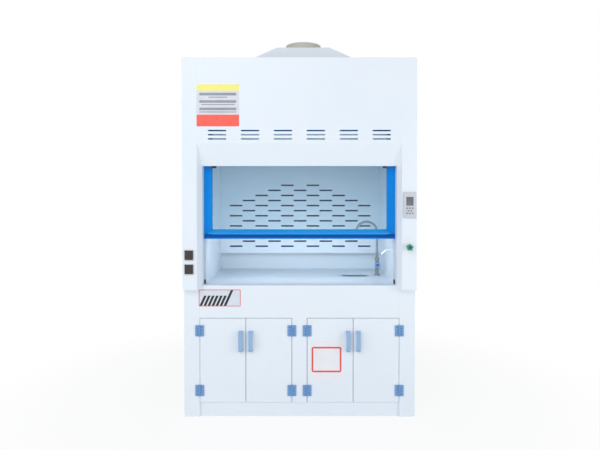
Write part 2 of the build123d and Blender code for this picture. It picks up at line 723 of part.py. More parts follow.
def counterbalance():
    """The cross shaft and pulleys, their brackets, the cables and the two weights."""
    axis_end = CABLE_X + PULLEY_WIDTH / 2
    shaft = rod(
        SHAFT_RADIUS,
        (-axis_end, SHAFT_DEPTH, PULLEY_HEIGHT),
        (axis_end, SHAFT_DEPTH, PULLEY_HEIGHT),
    )
    groove = PULLEY_RADIUS - CABLE_RADIUS - CABLE_GAP
    rim = PULLEY_RADIUS + PULLEY_RIM
    half = PULLEY_WIDTH / 2
    wheel_profile = [(0, 0), (0, half), (rim, half), (groove, CABLE_RADIUS + CABLE_GAP)]
    wheel_profile = wheel_profile + [(x, -y) for x, y in reversed(wheel_profile[1:])]
    wheel_section = make_face(Plane.XZ * Polyline(*wheel_profile, close=True))
    wheel = revolve(wheel_section, Axis.Z)
    wheel = Pos(CABLE_X, SHAFT_DEPTH, PULLEY_HEIGHT) * Rot(0, 90, 0) * wheel
    save("pulley_shaft", shaft + both_sides(wheel))

    bracket_y = (SHAFT_DEPTH - BRACKET_NEAR, SHAFT_DEPTH + BRACKET_FAR)
    plate = block(
        (BRACKET_X - BRACKET_THICKNESS, BRACKET_X),
        bracket_y,
        (PULLEY_HEIGHT - BRACKET_DROP, ROOF_UNDERSIDE),
    )
    foot = block(
        (BRACKET_X - BRACKET_THICKNESS - BRACKET_FOOT, BRACKET_X),
        bracket_y,
        (ROOF_UNDERSIDE - BRACKET_THICKNESS, ROOF_UNDERSIDE),
    )
    bearing = rod(
        SHAFT_RADIUS + SHAFT_CLEARANCE,
        (BRACKET_X - 2 * BRACKET_THICKNESS, SHAFT_DEPTH, PULLEY_HEIGHT),
        (BRACKET_X + BRACKET_THICKNESS, SHAFT_DEPTH, PULLEY_HEIGHT),
    )
    save("pulley_brackets", *both_sides(plate + foot - bearing))

    lug_high = SASH_TOP - LUG_DROP
    back_run = SHAFT_DEPTH + PULLEY_RADIUS
    lift = rod(CABLE_RADIUS, (CABLE_X, SASH_MIDDLE, lug_high), (CABLE_X, SASH_MIDDLE, PULLEY_HEIGHT))
    hang = rod(CABLE_RADIUS, (CABLE_X, back_run, WEIGHT_TOP_HEIGHT), (CABLE_X, back_run, PULLEY_HEIGHT))
    save("sash_lift_cables", *both_sides(lift))
    save("weight_cables", *both_sides(hang))

    start = Plane(origin=(CABLE_X, SASH_MIDDLE, PULLEY_HEIGHT), z_dir=(0, 0, 1))
    turn_axis = Axis((CABLE_X, SHAFT_DEPTH, PULLEY_HEIGHT), (-1, 0, 0))
    wrap = revolve(start * Circle(CABLE_RADIUS), turn_axis, 180)
    save("cable_turns", *both_sides(wrap))

    weight = block(
        (CABLE_X - WEIGHT_X / 2, CABLE_X + WEIGHT_X / 2),
        (back_run - WEIGHT_Y / 2, back_run + WEIGHT_Y / 2),
        (WEIGHT_TOP_HEIGHT - WEIGHT_HEIGHT, WEIGHT_TOP_HEIGHT),
    )
    weight = chamfer(weight.edges().filter_by(Axis.Z), WEIGHT_CHAMFER)
    save("counterweights", *both_sides(weight))


def controller():
    """The wall controller: case, screen and eight push keys."""
    middle = CONTROLLER_HEIGHT_MID
    case = block(
        (CONTROLLER_X - CONTROLLER_WIDTH / 2, CONTROLLER_X + CONTROLLER_WIDTH / 2),
        (-CONTROLLER_PROUD, 0),
        (middle - CONTROLLER_TALL / 2, middle + CONTROLLER_TALL / 2),
    )
    case = fillet(case.edges().filter_by(Axis.Y), CONTROLLER_ROUND)
    case = chamfer(case.faces().sort_by(Axis.Y)[0].edges(), CONTROLLER_CHAMFER)
    screen_middle = middle + SCREEN_RISE

    def screen(grow):
        """The screen's pane, or its pocket when grown."""
        half_x = SCREEN_WIDTH / 2 + grow
        half_z = SCREEN_TALL / 2 + grow
        return block(
            (CONTROLLER_X - half_x, CONTROLLER_X + half_x),
            (-CONTROLLER_PROUD - grow, -CONTROLLER_PROUD + SCREEN_DEPTH),
            (screen_middle - half_z, screen_middle + half_z),
        )

    places = [
        (CONTROLLER_X + x, middle - KEY_TOP_DROP - row * KEY_ROW_PITCH)
        for row, columns in enumerate(KEY_COLUMNS)
        for x in spread(columns, KEY_PITCH)
    ]
    well_floor = -CONTROLLER_PROUD - KEY_PROUD + KEY_LENGTH + KEY_TRAVEL + KEY_CLEARANCE
    wells = [
        rod(KEY_RADIUS + KEY_CLEARANCE, (x, -CONTROLLER_PROUD - 1, z), (x, well_floor, z))
        for x, z in places
    ]
    save("controller_case", case - [screen(SCREEN_CLEARANCE)] - wells)
    save("controller_screen", screen(0))
    tip = -CONTROLLER_PROUD - KEY_PROUD
    for number, (x, z) in enumerate(places, start=1):
        key = rod(KEY_RADIUS, (x, tip + KEY_LENGTH, z), (x, tip, z))
        rim = key.edges().group_by(Axis.Y)[0]
        save(f"controller_key_{number}", fillet(rim, KEY_ROUND))


def sockets():
    """Two sockets in the left post, each with a flip lid on a hinge pin."""
    bodies = []
    for name, middle in zip(("upper", "lower"), SOCKET_HEIGHTS):
        x = -SOCKET_X
        plate = block(
            (x - SOCKET_WIDTH / 2, x + SOCKET_WIDTH / 2),
            (-SOCKET_PROUD, 0),
            (middle - SOCKET_TALL / 2, middle + SOCKET_TALL / 2),
        )
        plate = fillet(plate.edges().filter_by(Axis.Y), SOCKET_ROUND)
        box_half = SOCKET_BOX / 2
        box = block(
            (x - box_half, x + box_half),
            (0, SOCKET_BOX_DEPTH),
            (middle - box_half, middle + box_half),
        )
        well = rod(
            SOCKET_WELL_RADIUS,
            (x, -SOCKET_PROUD - 1, middle),
            (x, -SOCKET_PROUD + SOCKET_WELL_DEPTH, middle),
        )
        lid_back = -SOCKET_PROUD - LID_GAP
        hinge_y = lid_back - LID_BARREL
        hinge_z = middle + LID_TALL / 2
        reach = LID_WIDTH / 2
        ear_x = reach - LID_EAR
        ears = []
        for side in (-1, 1):
            low, high = sorted((x + side * ear_x, x + side * reach))
            round_ear = rod(LID_BARREL, (low, hinge_y, hinge_z), (high, hinge_y, hinge_z))
            neck = block(
                (low, high),
                (hinge_y, -SOCKET_PROUD),
                (hinge_z - LID_BARREL, hinge_z + LID_BARREL),
            )
            ears.append(round_ear + neck)
        pin_hole = rod(LID_PIN, (x - reach - 1, hinge_y, hinge_z), (x + reach + 1, hinge_y, hinge_z))
        body = plate + box + ears - [well, pin_hole]
        pin = rod(LID_PIN, (x - reach, hinge_y, hinge_z), (x + reach, hinge_y, hinge_z))
        bodies = bodies + [body, pin]

        lid = block(
            (x - reach, x + reach),
            (lid_back - LID_THICKNESS, lid_back),
            (middle - LID_TALL / 2, hinge_z - LID_BARREL - LID_GAP),
        )
        lid = fillet(lid.edges().filter_by(Axis.Y).group_by(Axis.Z)[0], LID_CORNER)
        lid = fillet(lid.faces().sort_by(Axis.Y)[0].edges(), LID_ROUND)
        barrel_half = ear_x - LID_GAP
        barrel = rod(LID_BARREL, (x - barrel_half, hinge_y, hinge_z), (x + barrel_half, hinge_y, hinge_z))
        web = block(
            (x - barrel_half, x + barrel_half),
            (hinge_y - LID_BARREL / 2, lid_back - LID_GAP),
            (hinge_z - 2 * LID_BARREL, hinge_z),
        )
        bore = rod(
            LID_PIN + RUN_CLEARANCE,
            (x - reach, hinge_y, hinge_z),
            (x + reach, hinge_y, hinge_z),
        )
        save(f"socket_lid_{name}", lid + barrel + web - bore)
    save("socket_bodies", *bodies)


def barbs(tip, out, radius):
    """Hose barbs that start at a pipe's tip and follow each other back from it."""
    rings = []
    for number in range(BARB_COUNT):
        narrow = Plane(origin=tip - out * (number * BARB_PITCH), z_dir=-out)
        small = narrow * Circle(radius)
        large = narrow.offset(BARB_LENGTH) * Circle(radius + BARB_HEIGHT)
        rings.append(loft([small.face(), large.face()]))
    return rings


def remote_valve():
    """The valve behind the right post, its lobed knob, and the nozzle on the inner wall."""
    flange_front = -VALVE_FLANGE_THICKNESS
    knob_back = -KNOB_REACH + KNOB_CAP_THICKNESS + KNOB_THICKNESS

    def along(radius, front, back):
        """A round on the valve's axis between two depths."""
        return rod(radius, (VALVE_X, front, VALVE_HEIGHT), (VALVE_X, back, VALVE_HEIGHT))

    spindle_tip = knob_back - VALVE_SPINDLE_GRIP
    body = along(VALVE_BODY_RADIUS, SHEET, SHEET + VALVE_BODY_LENGTH)
    body = body + along(VALVE_NECK_RADIUS, flange_front, SHEET)
    body = body + along(VALVE_FLANGE_RADIUS, flange_front, 0)
    body = body + along(VALVE_SPINDLE_RADIUS, spindle_tip, flange_front)
    inlet_y = SHEET + VALVE_BODY_LENGTH / 2
    inlet_z = VALVE_HEIGHT - VALVE_BODY_RADIUS - VALVE_INLET_LENGTH
    body = body + rod(VALVE_INLET_RADIUS, (VALVE_X, inlet_y, VALVE_HEIGHT), (VALVE_X, inlet_y, inlet_z))
    save("remote_valve", body)

    disc = Circle(KNOB_RADIUS)
    lobes = PolarLocations(LOBE_REACH, KNOB_LOBES, start_angle=90)
    outline = disc + [spot * Circle(LOBE_RADIUS) for spot in lobes]
    plane = Plane(origin=(VALVE_X, knob_back, VALVE_HEIGHT), x_dir=(1, 0, 0), z_dir=(0, -1, 0))
    grip = extrude(plane * outline, KNOB_THICKNESS)
    grip = chamfer(grip.faces().sort_by(Axis.Y)[0].edges(), KNOB_CHAMFER)
    hub = along(KNOB_HUB_RADIUS, knob_back, flange_front - TURN_CLEARANCE)
    cap = along(KNOB_CAP_RADIUS, -KNOB_REACH, -KNOB_REACH + KNOB_CAP_THICKNESS)
    bore = along(VALVE_SPINDLE_RADIUS + RUN_CLEARANCE, spindle_tip - TURN_CLEARANCE, flange_front)
    save("valve_knob", grip + hub + cap - bore)

    wall = CHAMBER_HALF
    root = Vector(wall, OUTLET_DEPTH, OUTLET_HEIGHT)
    elbow = root - Vector(OUTLET_REACH, 0, 0)
    slope = Vector(-1, 0, -1).normalized()
    tip = elbow + slope * OUTLET_TIP
    bend = FilletPolyline(root, elbow, tip, radius=OUTLET_BEND)
    nozzle = sweep(Plane(origin=root, z_dir=(-1, 0, 0)) * Circle(OUTLET_RADIUS), path=bend)
    nozzle = nozzle + rod(OUTLET_FLANGE_RADIUS, root, root - Vector(OUTLET_FLANGE_THICKNESS, 0, 0))
    shank_end = root + Vector(LINER_SHEET + OUTLET_SHANK, 0, 0)
    nozzle = nozzle + rod(OUTLET_RADIUS, root, shank_end)
    nut_start = root + Vector(LINER_SHEET, 0, 0)
    nut = extrude(
        Plane(origin=nut_start, z_dir=(1, 0, 0)) * RegularPolygon(OUTLET_NUT_RADIUS, 6),
        OUTLET_NUT_THICKNESS,
    )
    nozzle = nozzle + nut
    save("wall_outlet", nozzle + barbs(tip, slope, OUTLET_RADIUS))


def faucet():
    """The bench faucet: column with a front knob, and a gooseneck that swivels."""
    base = WORKTOP_HEIGHT

    def column(radius, low, high):
        """A round on the faucet's axis between two heights above the worktop."""
        return rod(radius, (FAUCET_X, FAUCET_DEPTH, base + low), (FAUCET_X, FAUCET_DEPTH, base + high))

    body = column(FAUCET_FLANGE_RADIUS, 0, FAUCET_FLANGE_THICKNESS)
    body = fillet(body.edges().group_by(Axis.Z)[-1], FAUCET_FLANGE_ROUND)
    body = body + column(FAUCET_BODY_RADIUS, 0, FAUCET_BODY_HEIGHT)
    body = body + column(FAUCET_SHANK_RADIUS, -WORKTOP_THICKNESS - FAUCET_SHANK_LENGTH, 0)
    nut = Pos(FAUCET_X, FAUCET_DEPTH, BASE_HEIGHT) * RegularPolygon(FAUCET_NUT_RADIUS, 6)
    body = body + extrude(nut, -FAUCET_NUT_THICKNESS)
    knob_z = base + FAUCET_KNOB_HEIGHT
    boss_front = FAUCET_DEPTH - FAUCET_SIDE_BOSS_REACH
    body = body + rod(
        FAUCET_SIDE_BOSS_RADIUS, (FAUCET_X, FAUCET_DEPTH, knob_z), (FAUCET_X, boss_front, knob_z)
    )
    spindle_tip = boss_front - FAUCET_SPINDLE_GRIP
    body = body + rod(
        FAUCET_SPINDLE_RADIUS, (FAUCET_X, boss_front, knob_z), (FAUCET_X, spindle_tip, knob_z)
    )
    seat_low = FAUCET_BODY_HEIGHT - FAUCET_SEAT_DEPTH
    seat = column(SPOUT_RADIUS + RUN_CLEARANCE, seat_low, FAUCET_BODY_HEIGHT)
    save("faucet_body", body - seat)

    knob_back = boss_front - TURN_CLEARANCE
    knob_front = knob_back - FAUCET_KNOB_THICKNESS
    knob = rod(FAUCET_KNOB_RADIUS, (FAUCET_X, knob_back, knob_z), (FAUCET_X, knob_front, knob_z))
    knob = chamfer(knob.edges().group_by(Axis.Y)[0], FAUCET_KNOB_CHAMFER)
    spots = PolarLocations(FLUTE_OFFSET, FLUTE_COUNT)
    front_plane = Plane(origin=(FAUCET_X, knob_back, knob_z), x_dir=(1, 0, 0), z_dir=(0, -1, 0))
    flutes = [
        extrude(front_plane * spot * Circle(FLUTE_RADIUS), FAUCET_KNOB_THICKNESS) for spot in spots
    ]
    spindle_bore = rod(
        FAUCET_SPINDLE_RADIUS + RUN_CLEARANCE,
        (FAUCET_X, knob_back, knob_z),
        (FAUCET_X, spindle_tip - TURN_CLEARANCE, knob_z),
    )
    save("faucet_knob", knob - flutes - spindle_bore)

    foot = base + FAUCET_BODY_HEIGHT
    bend_radius = SPOUT_SPREAD / 2
    arch = base + SPOUT_TOP_HEIGHT - SPOUT_RADIUS
    shoulder = arch - bend_radius
    outlet = shoulder - SPOUT_TIP_LENGTH
    far = FAUCET_X - SPOUT_SPREAD
    seat_foot = foot - FAUCET_SEAT_DEPTH + TURN_CLEARANCE
    up = Line((FAUCET_X, FAUCET_DEPTH, seat_foot), (FAUCET_X, FAUCET_DEPTH, shoulder))
    over = ThreePointArc(
        (FAUCET_X, FAUCET_DEPTH, shoulder),
        (FAUCET_X - bend_radius, FAUCET_DEPTH, arch),
        (far, FAUCET_DEPTH, shoulder),
    )
    down = Line((far, FAUCET_DEPTH, shoulder), (far, FAUCET_DEPTH, outlet))
    section = Plane(origin=(FAUCET_X, FAUCET_DEPTH, seat_foot), z_dir=(0, 0, 1)) * Circle(SPOUT_RADIUS)
    spout = sweep(section, path=Wire([up, over, down]))
    union = column(
        SPOUT_NUT_RADIUS,
        FAUCET_BODY_HEIGHT + TURN_CLEARANCE,
        FAUCET_BODY_HEIGHT + TURN_CLEARANCE + SPOUT_NUT_HEIGHT,
    )
    spout = spout + fillet(union.edges(), SPOUT_NUT_ROUND)
    tip = Vector(far, FAUCET_DEPTH, outlet)
    spout = spout + barbs(tip, Vector(0, 0, -1), SPOUT_RADIUS)
    water_way = rod(SPOUT_BORE, (far, FAUCET_DEPTH, outlet), (far, FAUCET_DEPTH, shoulder))
    save("faucet_spout", spout - water_way)


def trap_outlet_height():
    """Height of the drain's way out through the back, from the trap's own bends."""
    inlet = WORKTOP_HEIGHT - SINK_DROP - SPIGOT_LENGTH
    return inlet - TRAP_LEG + TRAP_BEND + TRAP_RISE


def cup_sink():
    """The oval cup with its rim, the waste spigot under it and the drain trap behind it."""

    def cup(grow, floor_drop):
        """The tapering oval of the cup, grown on every side."""
        mouth = Pos(0, 0, WORKTOP_HEIGHT) * SlotOverall(SINK_LENGTH + 2 * grow, SINK_WIDTH + 2 * grow)
        floor_section = SlotOverall(SINK_FLOOR_LENGTH + 2 * grow, SINK_FLOOR_WIDTH + 2 * grow)
        floor = Pos(0, 0, WORKTOP_HEIGHT - SINK_DROP + floor_drop) * floor_section
        return loft([mouth.face(), floor.face()])

    rim_length = SINK_LENGTH + 2 * SINK_WALL + 2 * SINK_RIM
    rim_width = SINK_WIDTH + 2 * SINK_WALL + 2 * SINK_RIM
    rim = extrude(Pos(0, 0, WORKTOP_HEIGHT) * SlotOverall(rim_length, rim_width), SINK_RIM_THICKNESS)
    rim = chamfer(rim.edges().group_by(Axis.Z)[-1], SINK_RIM_CHAMFER)
    mouth_through = extrude(
        Pos(0, 0, WORKTOP_HEIGHT) * SlotOverall(SINK_LENGTH, SINK_WIDTH), SINK_RIM_THICKNESS
    )
    spigot_top = WORKTOP_HEIGHT - SINK_DROP
    spigot_low = spigot_top - SPIGOT_LENGTH
    bore = rod(SPIGOT_RADIUS - SPIGOT_WALL, (0, 0, spigot_low), (0, 0, spigot_top + 2 * SINK_WALL))
    tub = cup(SINK_WALL, 0) + rim - mouth_through - cup(0, SINK_WALL) - bore
    save("cup_sink", Pos(SINK_X, SINK_DEPTH, 0) * tub)
    spigot = rod(SPIGOT_RADIUS, (0, 0, spigot_low), (0, 0, spigot_top)) - bore

    drain_height = trap_outlet_height()
    bottom = spigot_low - TRAP_LEG
    route = [
        (SINK_X, SINK_DEPTH, spigot_low),
        (SINK_X, SINK_DEPTH, bottom),
        (SINK_X, SINK_DEPTH + TRAP_SPREAD, bottom),
        (SINK_X, SINK_DEPTH + TRAP_SPREAD, drain_height),
        (SINK_X, BODY_DEPTH, drain_height),
    ]
    line = FilletPolyline(*route, radius=TRAP_BEND)
    mouth = Plane(origin=route[0], z_dir=(0, 0, -1))
    pipe = sweep(mouth * Circle(SPIGOT_RADIUS), path=line)
    way = sweep(mouth * Circle(SPIGOT_RADIUS - SPIGOT_WALL), path=line)
    nut_low = spigot_low - TRAP_NUT_LENGTH / 2
    nut_high = spigot_low + TRAP_NUT_LENGTH / 2
    nut = rod(TRAP_NUT_RADIUS, (SINK_X, SINK_DEPTH, nut_low), (SINK_X, SINK_DEPTH, nut_high))
    spigot_seat = rod(
        SPIGOT_RADIUS + GLASS_CLEARANCE,
        (SINK_X, SINK_DEPTH, spigot_low),
        (SINK_X, SINK_DEPTH, nut_high),
    )
    save("sink_trap", pipe + (nut - spigot_seat) - way, Pos(SINK_X, SINK_DEPTH, 0) * spigot)


def base_cupboard():
    """The carcass under the worktop: folded sides, floor, divider, front frame and kick."""
    side_line = [(STILE_EDGE, BASE_FRONT), (HALF_WIDTH, BASE_FRONT), (HALF_WIDTH, BODY_DEPTH)]
    flats = [prism(Plane.XY, strip, BASE_HEIGHT) for strip in fold_strips(side_line, SHEET)]
    save("base_side_panels", *both_sides(flats[0] + flats[1]))

    kick = block((-STILE_EDGE, STILE_EDGE), (KICK_FRONT, KICK_FRONT + SHEET), (0, KICK_HEIGHT))
    save("base_kick", kick)
    floor = block(
        (-INNER_HALF, INNER_HALF),
        (KICK_FRONT + SHEET, BACK_FACE),
        (KICK_HEIGHT - SHEET, KICK_HEIGHT),
    )
    save("base_floor", floor)
    divider = block(
        (-SHEET / 2, SHEET / 2),
        (BASE_FRONT + SHEET, BACK_FACE),
        (KICK_HEIGHT, BASE_HEIGHT),
    )
    save("base_divider", divider)
    apron_low = DOOR_TOP_HEIGHT + DOOR_GAP
    outline = [
        (-STILE_EDGE, BASE_HEIGHT),
        (-STILE_EDGE, apron_low),
        (-MULLION_HALF, apron_low),
        (-MULLION_HALF, KICK_HEIGHT),
    ]
    outline = outline + [(-x, z) for x, z in reversed(outline)]
    face = Plane(origin=(0, BASE_FRONT + SHEET, 0), x_dir=(1, 0, 0), z_dir=(0, -1, 0))
    save("base_front_frame", prism(face, outline, SHEET))


def hinge_leaf(axis_x, side, middle, knuckle_numbers):
    """One leaf lying on the front face, from the axis towards side, with its knuckles."""
    axis_y = BASE_FRONT - HINGE_STANDOFF
    pitch = HINGE_TALL / HINGE_KNUCKLES
    near = axis_x + side * HINGE_STANDOFF
    far = axis_x + side * HINGE_WIDTH / 2
    plate = block(
        tuple(sorted((near, far))),
        (BASE_FRONT - HINGE_LEAF, BASE_FRONT),
        (middle - HINGE_TALL / 2, middle + HINGE_TALL / 2),
    )
    corners = plate.edges().filter_by(Axis.Y).sort_by(Axis.X)
    outer = corners[-2:] if side > 0 else corners[:2]
    leaf = fillet(outer, HINGE_ROUND)
    for number in knuckle_numbers:
        low = middle - HINGE_TALL / 2 + number * pitch + HINGE_AXIAL_GAP / 2
        high = low + pitch - HINGE_AXIAL_GAP
        web = block(
            tuple(sorted((axis_x, near))),
            (BASE_FRONT - HINGE_LEAF, axis_y + HINGE_KNUCKLE),
            (low, high),
        )
        leaf = leaf + web + rod(HINGE_KNUCKLE, (axis_x, axis_y, low), (axis_x, axis_y, high))
    bore = rod(
        HINGE_PIN + RUN_CLEARANCE,
        (axis_x, axis_y, middle - HINGE_TALL),
        (axis_x, axis_y, middle + HINGE_TALL),
    )
    return leaf - bore


def hinge_pin(axis_x, middle):
    """The headed pin through one hinge's knuckles."""
    axis_y = BASE_FRONT - HINGE_STANDOFF
    low = middle - HINGE_TALL / 2
    high = middle + HINGE_TALL / 2
    shank = rod(HINGE_PIN, (axis_x, axis_y, low), (axis_x, axis_y, high))
    head = rod(HINGE_PIN_HEAD, (axis_x, axis_y, high), (axis_x, axis_y, high + HINGE_PIN_HEAD_THICKNESS))
    return shank + head


def pull_handle(middle_x):
    """A bow handle standing on the door face, with flared feet and a flat grip."""
    half = PULL_TALL / 2
    face = BASE_FRONT
    grip = face - PULL_REACH
    shoulder = grip + PULL_SLOPE
    outer = [
        (face, -half),
        (shoulder, -half),
        (grip, -half + PULL_SLOPE),
        (grip, half - PULL_SLOPE),
        (shoulder, half),
        (face, half),
    ]
    inner = [
        (face, half - PULL_FOOT),
        (shoulder + PULL_WAIST, half - PULL_FOOT),
        (grip + PULL_BAR, half - PULL_SLOPE - PULL_BAR),
        (grip + PULL_BAR, -half + PULL_SLOPE + PULL_BAR),
        (shoulder + PULL_WAIST, -half + PULL_FOOT),
        (face, -half + PULL_FOOT),
    ]
    plane = Plane(origin=(middle_x - PULL_WIDTH / 2, 0, PULL_HEIGHT_MID), x_dir=(0, 1, 0), z_dir=(1, 0, 0))
    bow = prism(plane, outer + inner, PULL_WIDTH)
    grip_edges = bow.edges().filter_by(Axis.Z).group_by(Axis.Y)[0]
    return fillet(grip_edges, PULL_ROUND)


def doors():
    """Four inset doors, each with its moving hinge leaves and its handle."""
    pair_low = MULLION_HALF
    pair_high = STILE_EDGE
    door_width = (pair_high - pair_low - 3 * DOOR_GAP) / 2
    layout = (
        (-pair_high, 1),
        (-pair_low, -1),
        (pair_low, 1),
        (pair_high, -1),
    )
    fixed = []
    for number, (frame_edge, side) in enumerate(layout, start=1):
        hinge_edge = frame_edge + side * DOOR_GAP
        free_edge = hinge_edge + side * door_width
        axis_x = frame_edge + side * DOOR_GAP / 2
        across = tuple(sorted((hinge_edge, free_edge)))
        panel = block(across, (BASE_FRONT, BASE_FRONT + DOOR_THICKNESS), (DOOR_LOW, DOOR_TOP_HEIGHT))
        panel = chamfer(panel.faces().sort_by(Axis.Y)[0].edges(), DOOR_EDGE)
        inner_x = (across[0] + DOOR_BORDER, across[1] - DOOR_BORDER)
        middle_z = (DOOR_LOW + DOOR_TOP_HEIGHT) / 2
        depth = (BASE_FRONT + DOOR_SKIN, BASE_FRONT + DOOR_THICKNESS + 1)
        pockets = [
            block(inner_x, depth, (DOOR_LOW + DOOR_BORDER, middle_z - DOOR_BORDER / 2)),
            block(inner_x, depth, (middle_z + DOOR_BORDER / 2, DOOR_TOP_HEIGHT - DOOR_BORDER)),
        ]
        save(f"door_{number}", panel - pockets)
        moving = [hinge_leaf(axis_x, side, middle, (1, 3)) for middle in HINGE_HEIGHTS]
        handle = pull_handle(free_edge - side * PULL_INSET)
        save(f"door_{number}_handle_and_hinge_leaves", handle, *moving)
        for middle in HINGE_HEIGHTS:
            fixed.append(hinge_leaf(axis_x, -side, middle, (0, 2, 4)))
            fixed.append(hinge_pin(axis_x, middle))
    save("hinge_frame_leaves", *fixed)


os.makedirs("parts", exist_ok=True)
surround()
outer_shell()
chamber_lining()
lamp_fitting()
worktop()
exhaust_transition()
sash()
sash_guides()
counterbalance()
controller()
sockets()
remote_valve()
faucet()
cup_sink()
base_cupboard()
doors()
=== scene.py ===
import math

import bmesh
import bpy
import numpy as np
from bpy.props import BoolProperty, FloatProperty, FloatVectorProperty, IntProperty, PointerProperty
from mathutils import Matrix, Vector


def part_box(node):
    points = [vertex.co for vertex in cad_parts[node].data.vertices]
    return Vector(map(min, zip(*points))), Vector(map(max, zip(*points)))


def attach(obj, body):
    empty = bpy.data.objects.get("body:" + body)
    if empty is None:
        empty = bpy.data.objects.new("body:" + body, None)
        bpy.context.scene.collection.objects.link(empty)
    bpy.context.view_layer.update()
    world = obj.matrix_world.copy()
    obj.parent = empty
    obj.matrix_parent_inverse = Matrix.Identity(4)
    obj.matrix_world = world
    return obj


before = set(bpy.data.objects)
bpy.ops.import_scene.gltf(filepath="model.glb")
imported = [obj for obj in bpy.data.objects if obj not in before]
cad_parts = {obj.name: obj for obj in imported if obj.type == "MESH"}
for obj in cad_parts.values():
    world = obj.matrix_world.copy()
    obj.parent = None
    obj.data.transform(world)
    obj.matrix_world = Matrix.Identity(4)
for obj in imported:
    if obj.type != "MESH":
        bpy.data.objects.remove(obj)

bl_info = {
    "name": "Polypropylene fume hood looks",
    "version": (1, 0, 0),
    "blender": (4, 5, 0),
    "location": "3D View > Sidebar > Fume hood",
    "description": "Dresses the fume hood with its finishes, plates, screws, weld beads and studio",
    "category": "Object",
}

CARCASS = "carcass"
LOW, HIGH = 0, 1

# Depth is measured back from the front face of the posts, as in the part's source.
FRONT_Y = round(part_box("front_posts")[LOW].y, 6)


def edge(node, end, axis):
    """Where a node's box ends along an axis, to the micrometre, with depth in place of Y."""
    place = getattr(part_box(node)[end], axis)
    if axis == "y":
        place -= FRONT_Y
    return round(place, 6)


# The chamber, from the nodes that close it.
CHAMBER_HALF = edge("liner_ceiling", HIGH, "x")
CEILING = edge("liner_ceiling", LOW, "z")
WORKTOP_TOP = edge("worktop", HIGH, "z")
BACK_FACE = edge("back_panels", LOW, "y")
BEAD_END_GAP = 0.0003
CHAMBER_FRONT = edge("liner_ceiling", LOW, "y") + BEAD_END_GAP
BAFFLE_FACE = edge("baffle", LOW, "y")
BAFFLE_LOW, BAFFLE_HIGH = edge("baffle", LOW, "z"), edge("baffle", HIGH, "z")

# The cupboard, from its front frame, floor and divider.
BASE_FRONT = edge("base_front_frame", LOW, "y")
BASE_TOP = edge("base_front_frame", HIGH, "z")
BASE_HALF = edge("base_floor", HIGH, "x")
BASE_FLOOR = edge("base_floor", HIGH, "z")
BASE_WELD_FRONT = edge("base_floor", LOW, "y")
DIVIDER_HALF = edge("base_divider", HIGH, "x")

# The hopper's foot on the roof, and the round collar over it.
ROOF = edge("roof_panel", HIGH, "z")
HOPPER_CENTRE = [
    round((edge("duct_transition", LOW, axis) + edge("duct_transition", HIGH, axis)) / 2, 6) for axis in "xy"
]
HOPPER_HALF = [
    round((edge("duct_transition", HIGH, axis) - edge("duct_transition", LOW, axis)) / 2, 6) for axis in "xy"
]
COLLAR_RADIUS = round((edge("duct_collar", HIGH, "x") - edge("duct_collar", LOW, "x")) / 2, 6)
COLLAR_FOOT = edge("duct_collar", LOW, "z")

# Joints on the front: along the cupboard's corner stiles, and between the fascia and the posts.
SEAM_RADIUS = 0.0016
SEAM_DEPTH = 0.001
POST_FACE = 0.094
FASCIA_BEVEL = 0.142
STILE_X = edge("base_front_frame", HIGH, "x")
FASCIA_X = round(edge("front_posts", HIGH, "x") - POST_FACE, 6)
FASCIA_SEAM_FOOT = round(edge("front_fascia", LOW, "z") + FASCIA_BEVEL, 6)

# Door hinges: each axis lies in the gap beside its door, and the leaf lies on the door's side of it.
HALF_GAP = 0.0015
HINGE_HALF = 0.036
PIN_HEAD = 0.0015
HINGE_LEAF = 0.005
SCREW_FROM_AXIS = 0.0125
SCREW_PITCH = 0.019
SCREW_SHIFT = 0.0035
HINGES = [
    (round(edge(f"door_{number}", LOW if side > 0 else HIGH, "x") - side * HALF_GAP, 6), side)
    for number, side in ((1, 1), (2, -1), (3, 1), (4, -1))
]
HINGE_MIDDLES = (
    round(edge("hinge_frame_leaves", LOW, "z") + HINGE_HALF, 6),
    round(edge("hinge_frame_leaves", HIGH, "z") - PIN_HEAD - HINGE_HALF, 6),
)

# Plates: middle X, middle Z, width and height of each.
FASCIA_PLATE = (-0.5200, 2.0155, 0.2710, 0.2670)
CUPBOARD_PLATE = (-0.5180, 0.7755, 0.2747, 0.1130)
DOOR_CARD = (0.1737, 0.3650, 0.2020, 0.2630)
CARD_OUTLINE = (0.1940, 0.1665)
YELLOW_BAND = 0.040
RED_BAND = 0.074
LONG_BAR, SHORT_BAR, LAST_BAR = (0.236, 0.017), (0.120, 0.006), (0.236, 0.006)
MIDDLE_BAR = (0.214, 0.006)
FIRST_BAR_RISE = 0.071
BAR_PITCH = 0.0235
THIN_BAR_RISE = 0.004
STRIPE_LEAN, STRIPE_TALL = 0.030, 0.066
STRIPE_WIDE, STRIPE_PITCH = 0.0165, 0.0262
PLATE_INSET = 0.006
LAST_STRIPE_INSET = 0.011

# The camera that the photograph's frame was fitted with.
CAMERA_PLACE = (0.0254, -3.888, 1.448)
CAMERA_TILT = 89.2
CAMERA_LENS = 32.757
CAMERA_SHIFT = (-0.00567, -0.0383)


# Colours and small helpers


def linear(red, green, blue):
    """A colour given as a screen shows it, 0 to 255, as the linear colour that shaders take."""
    parts = [channel / 255 for channel in (red, green, blue)]
    curve = [((part + 0.055) / 1.055) ** 2.4 if part > 0.04045 else part / 12.92 for part in parts]
    return (*curve, 1.0)


def at(depth):
    """The row frame's Y of a depth in metres."""
    return FRONT_Y + depth


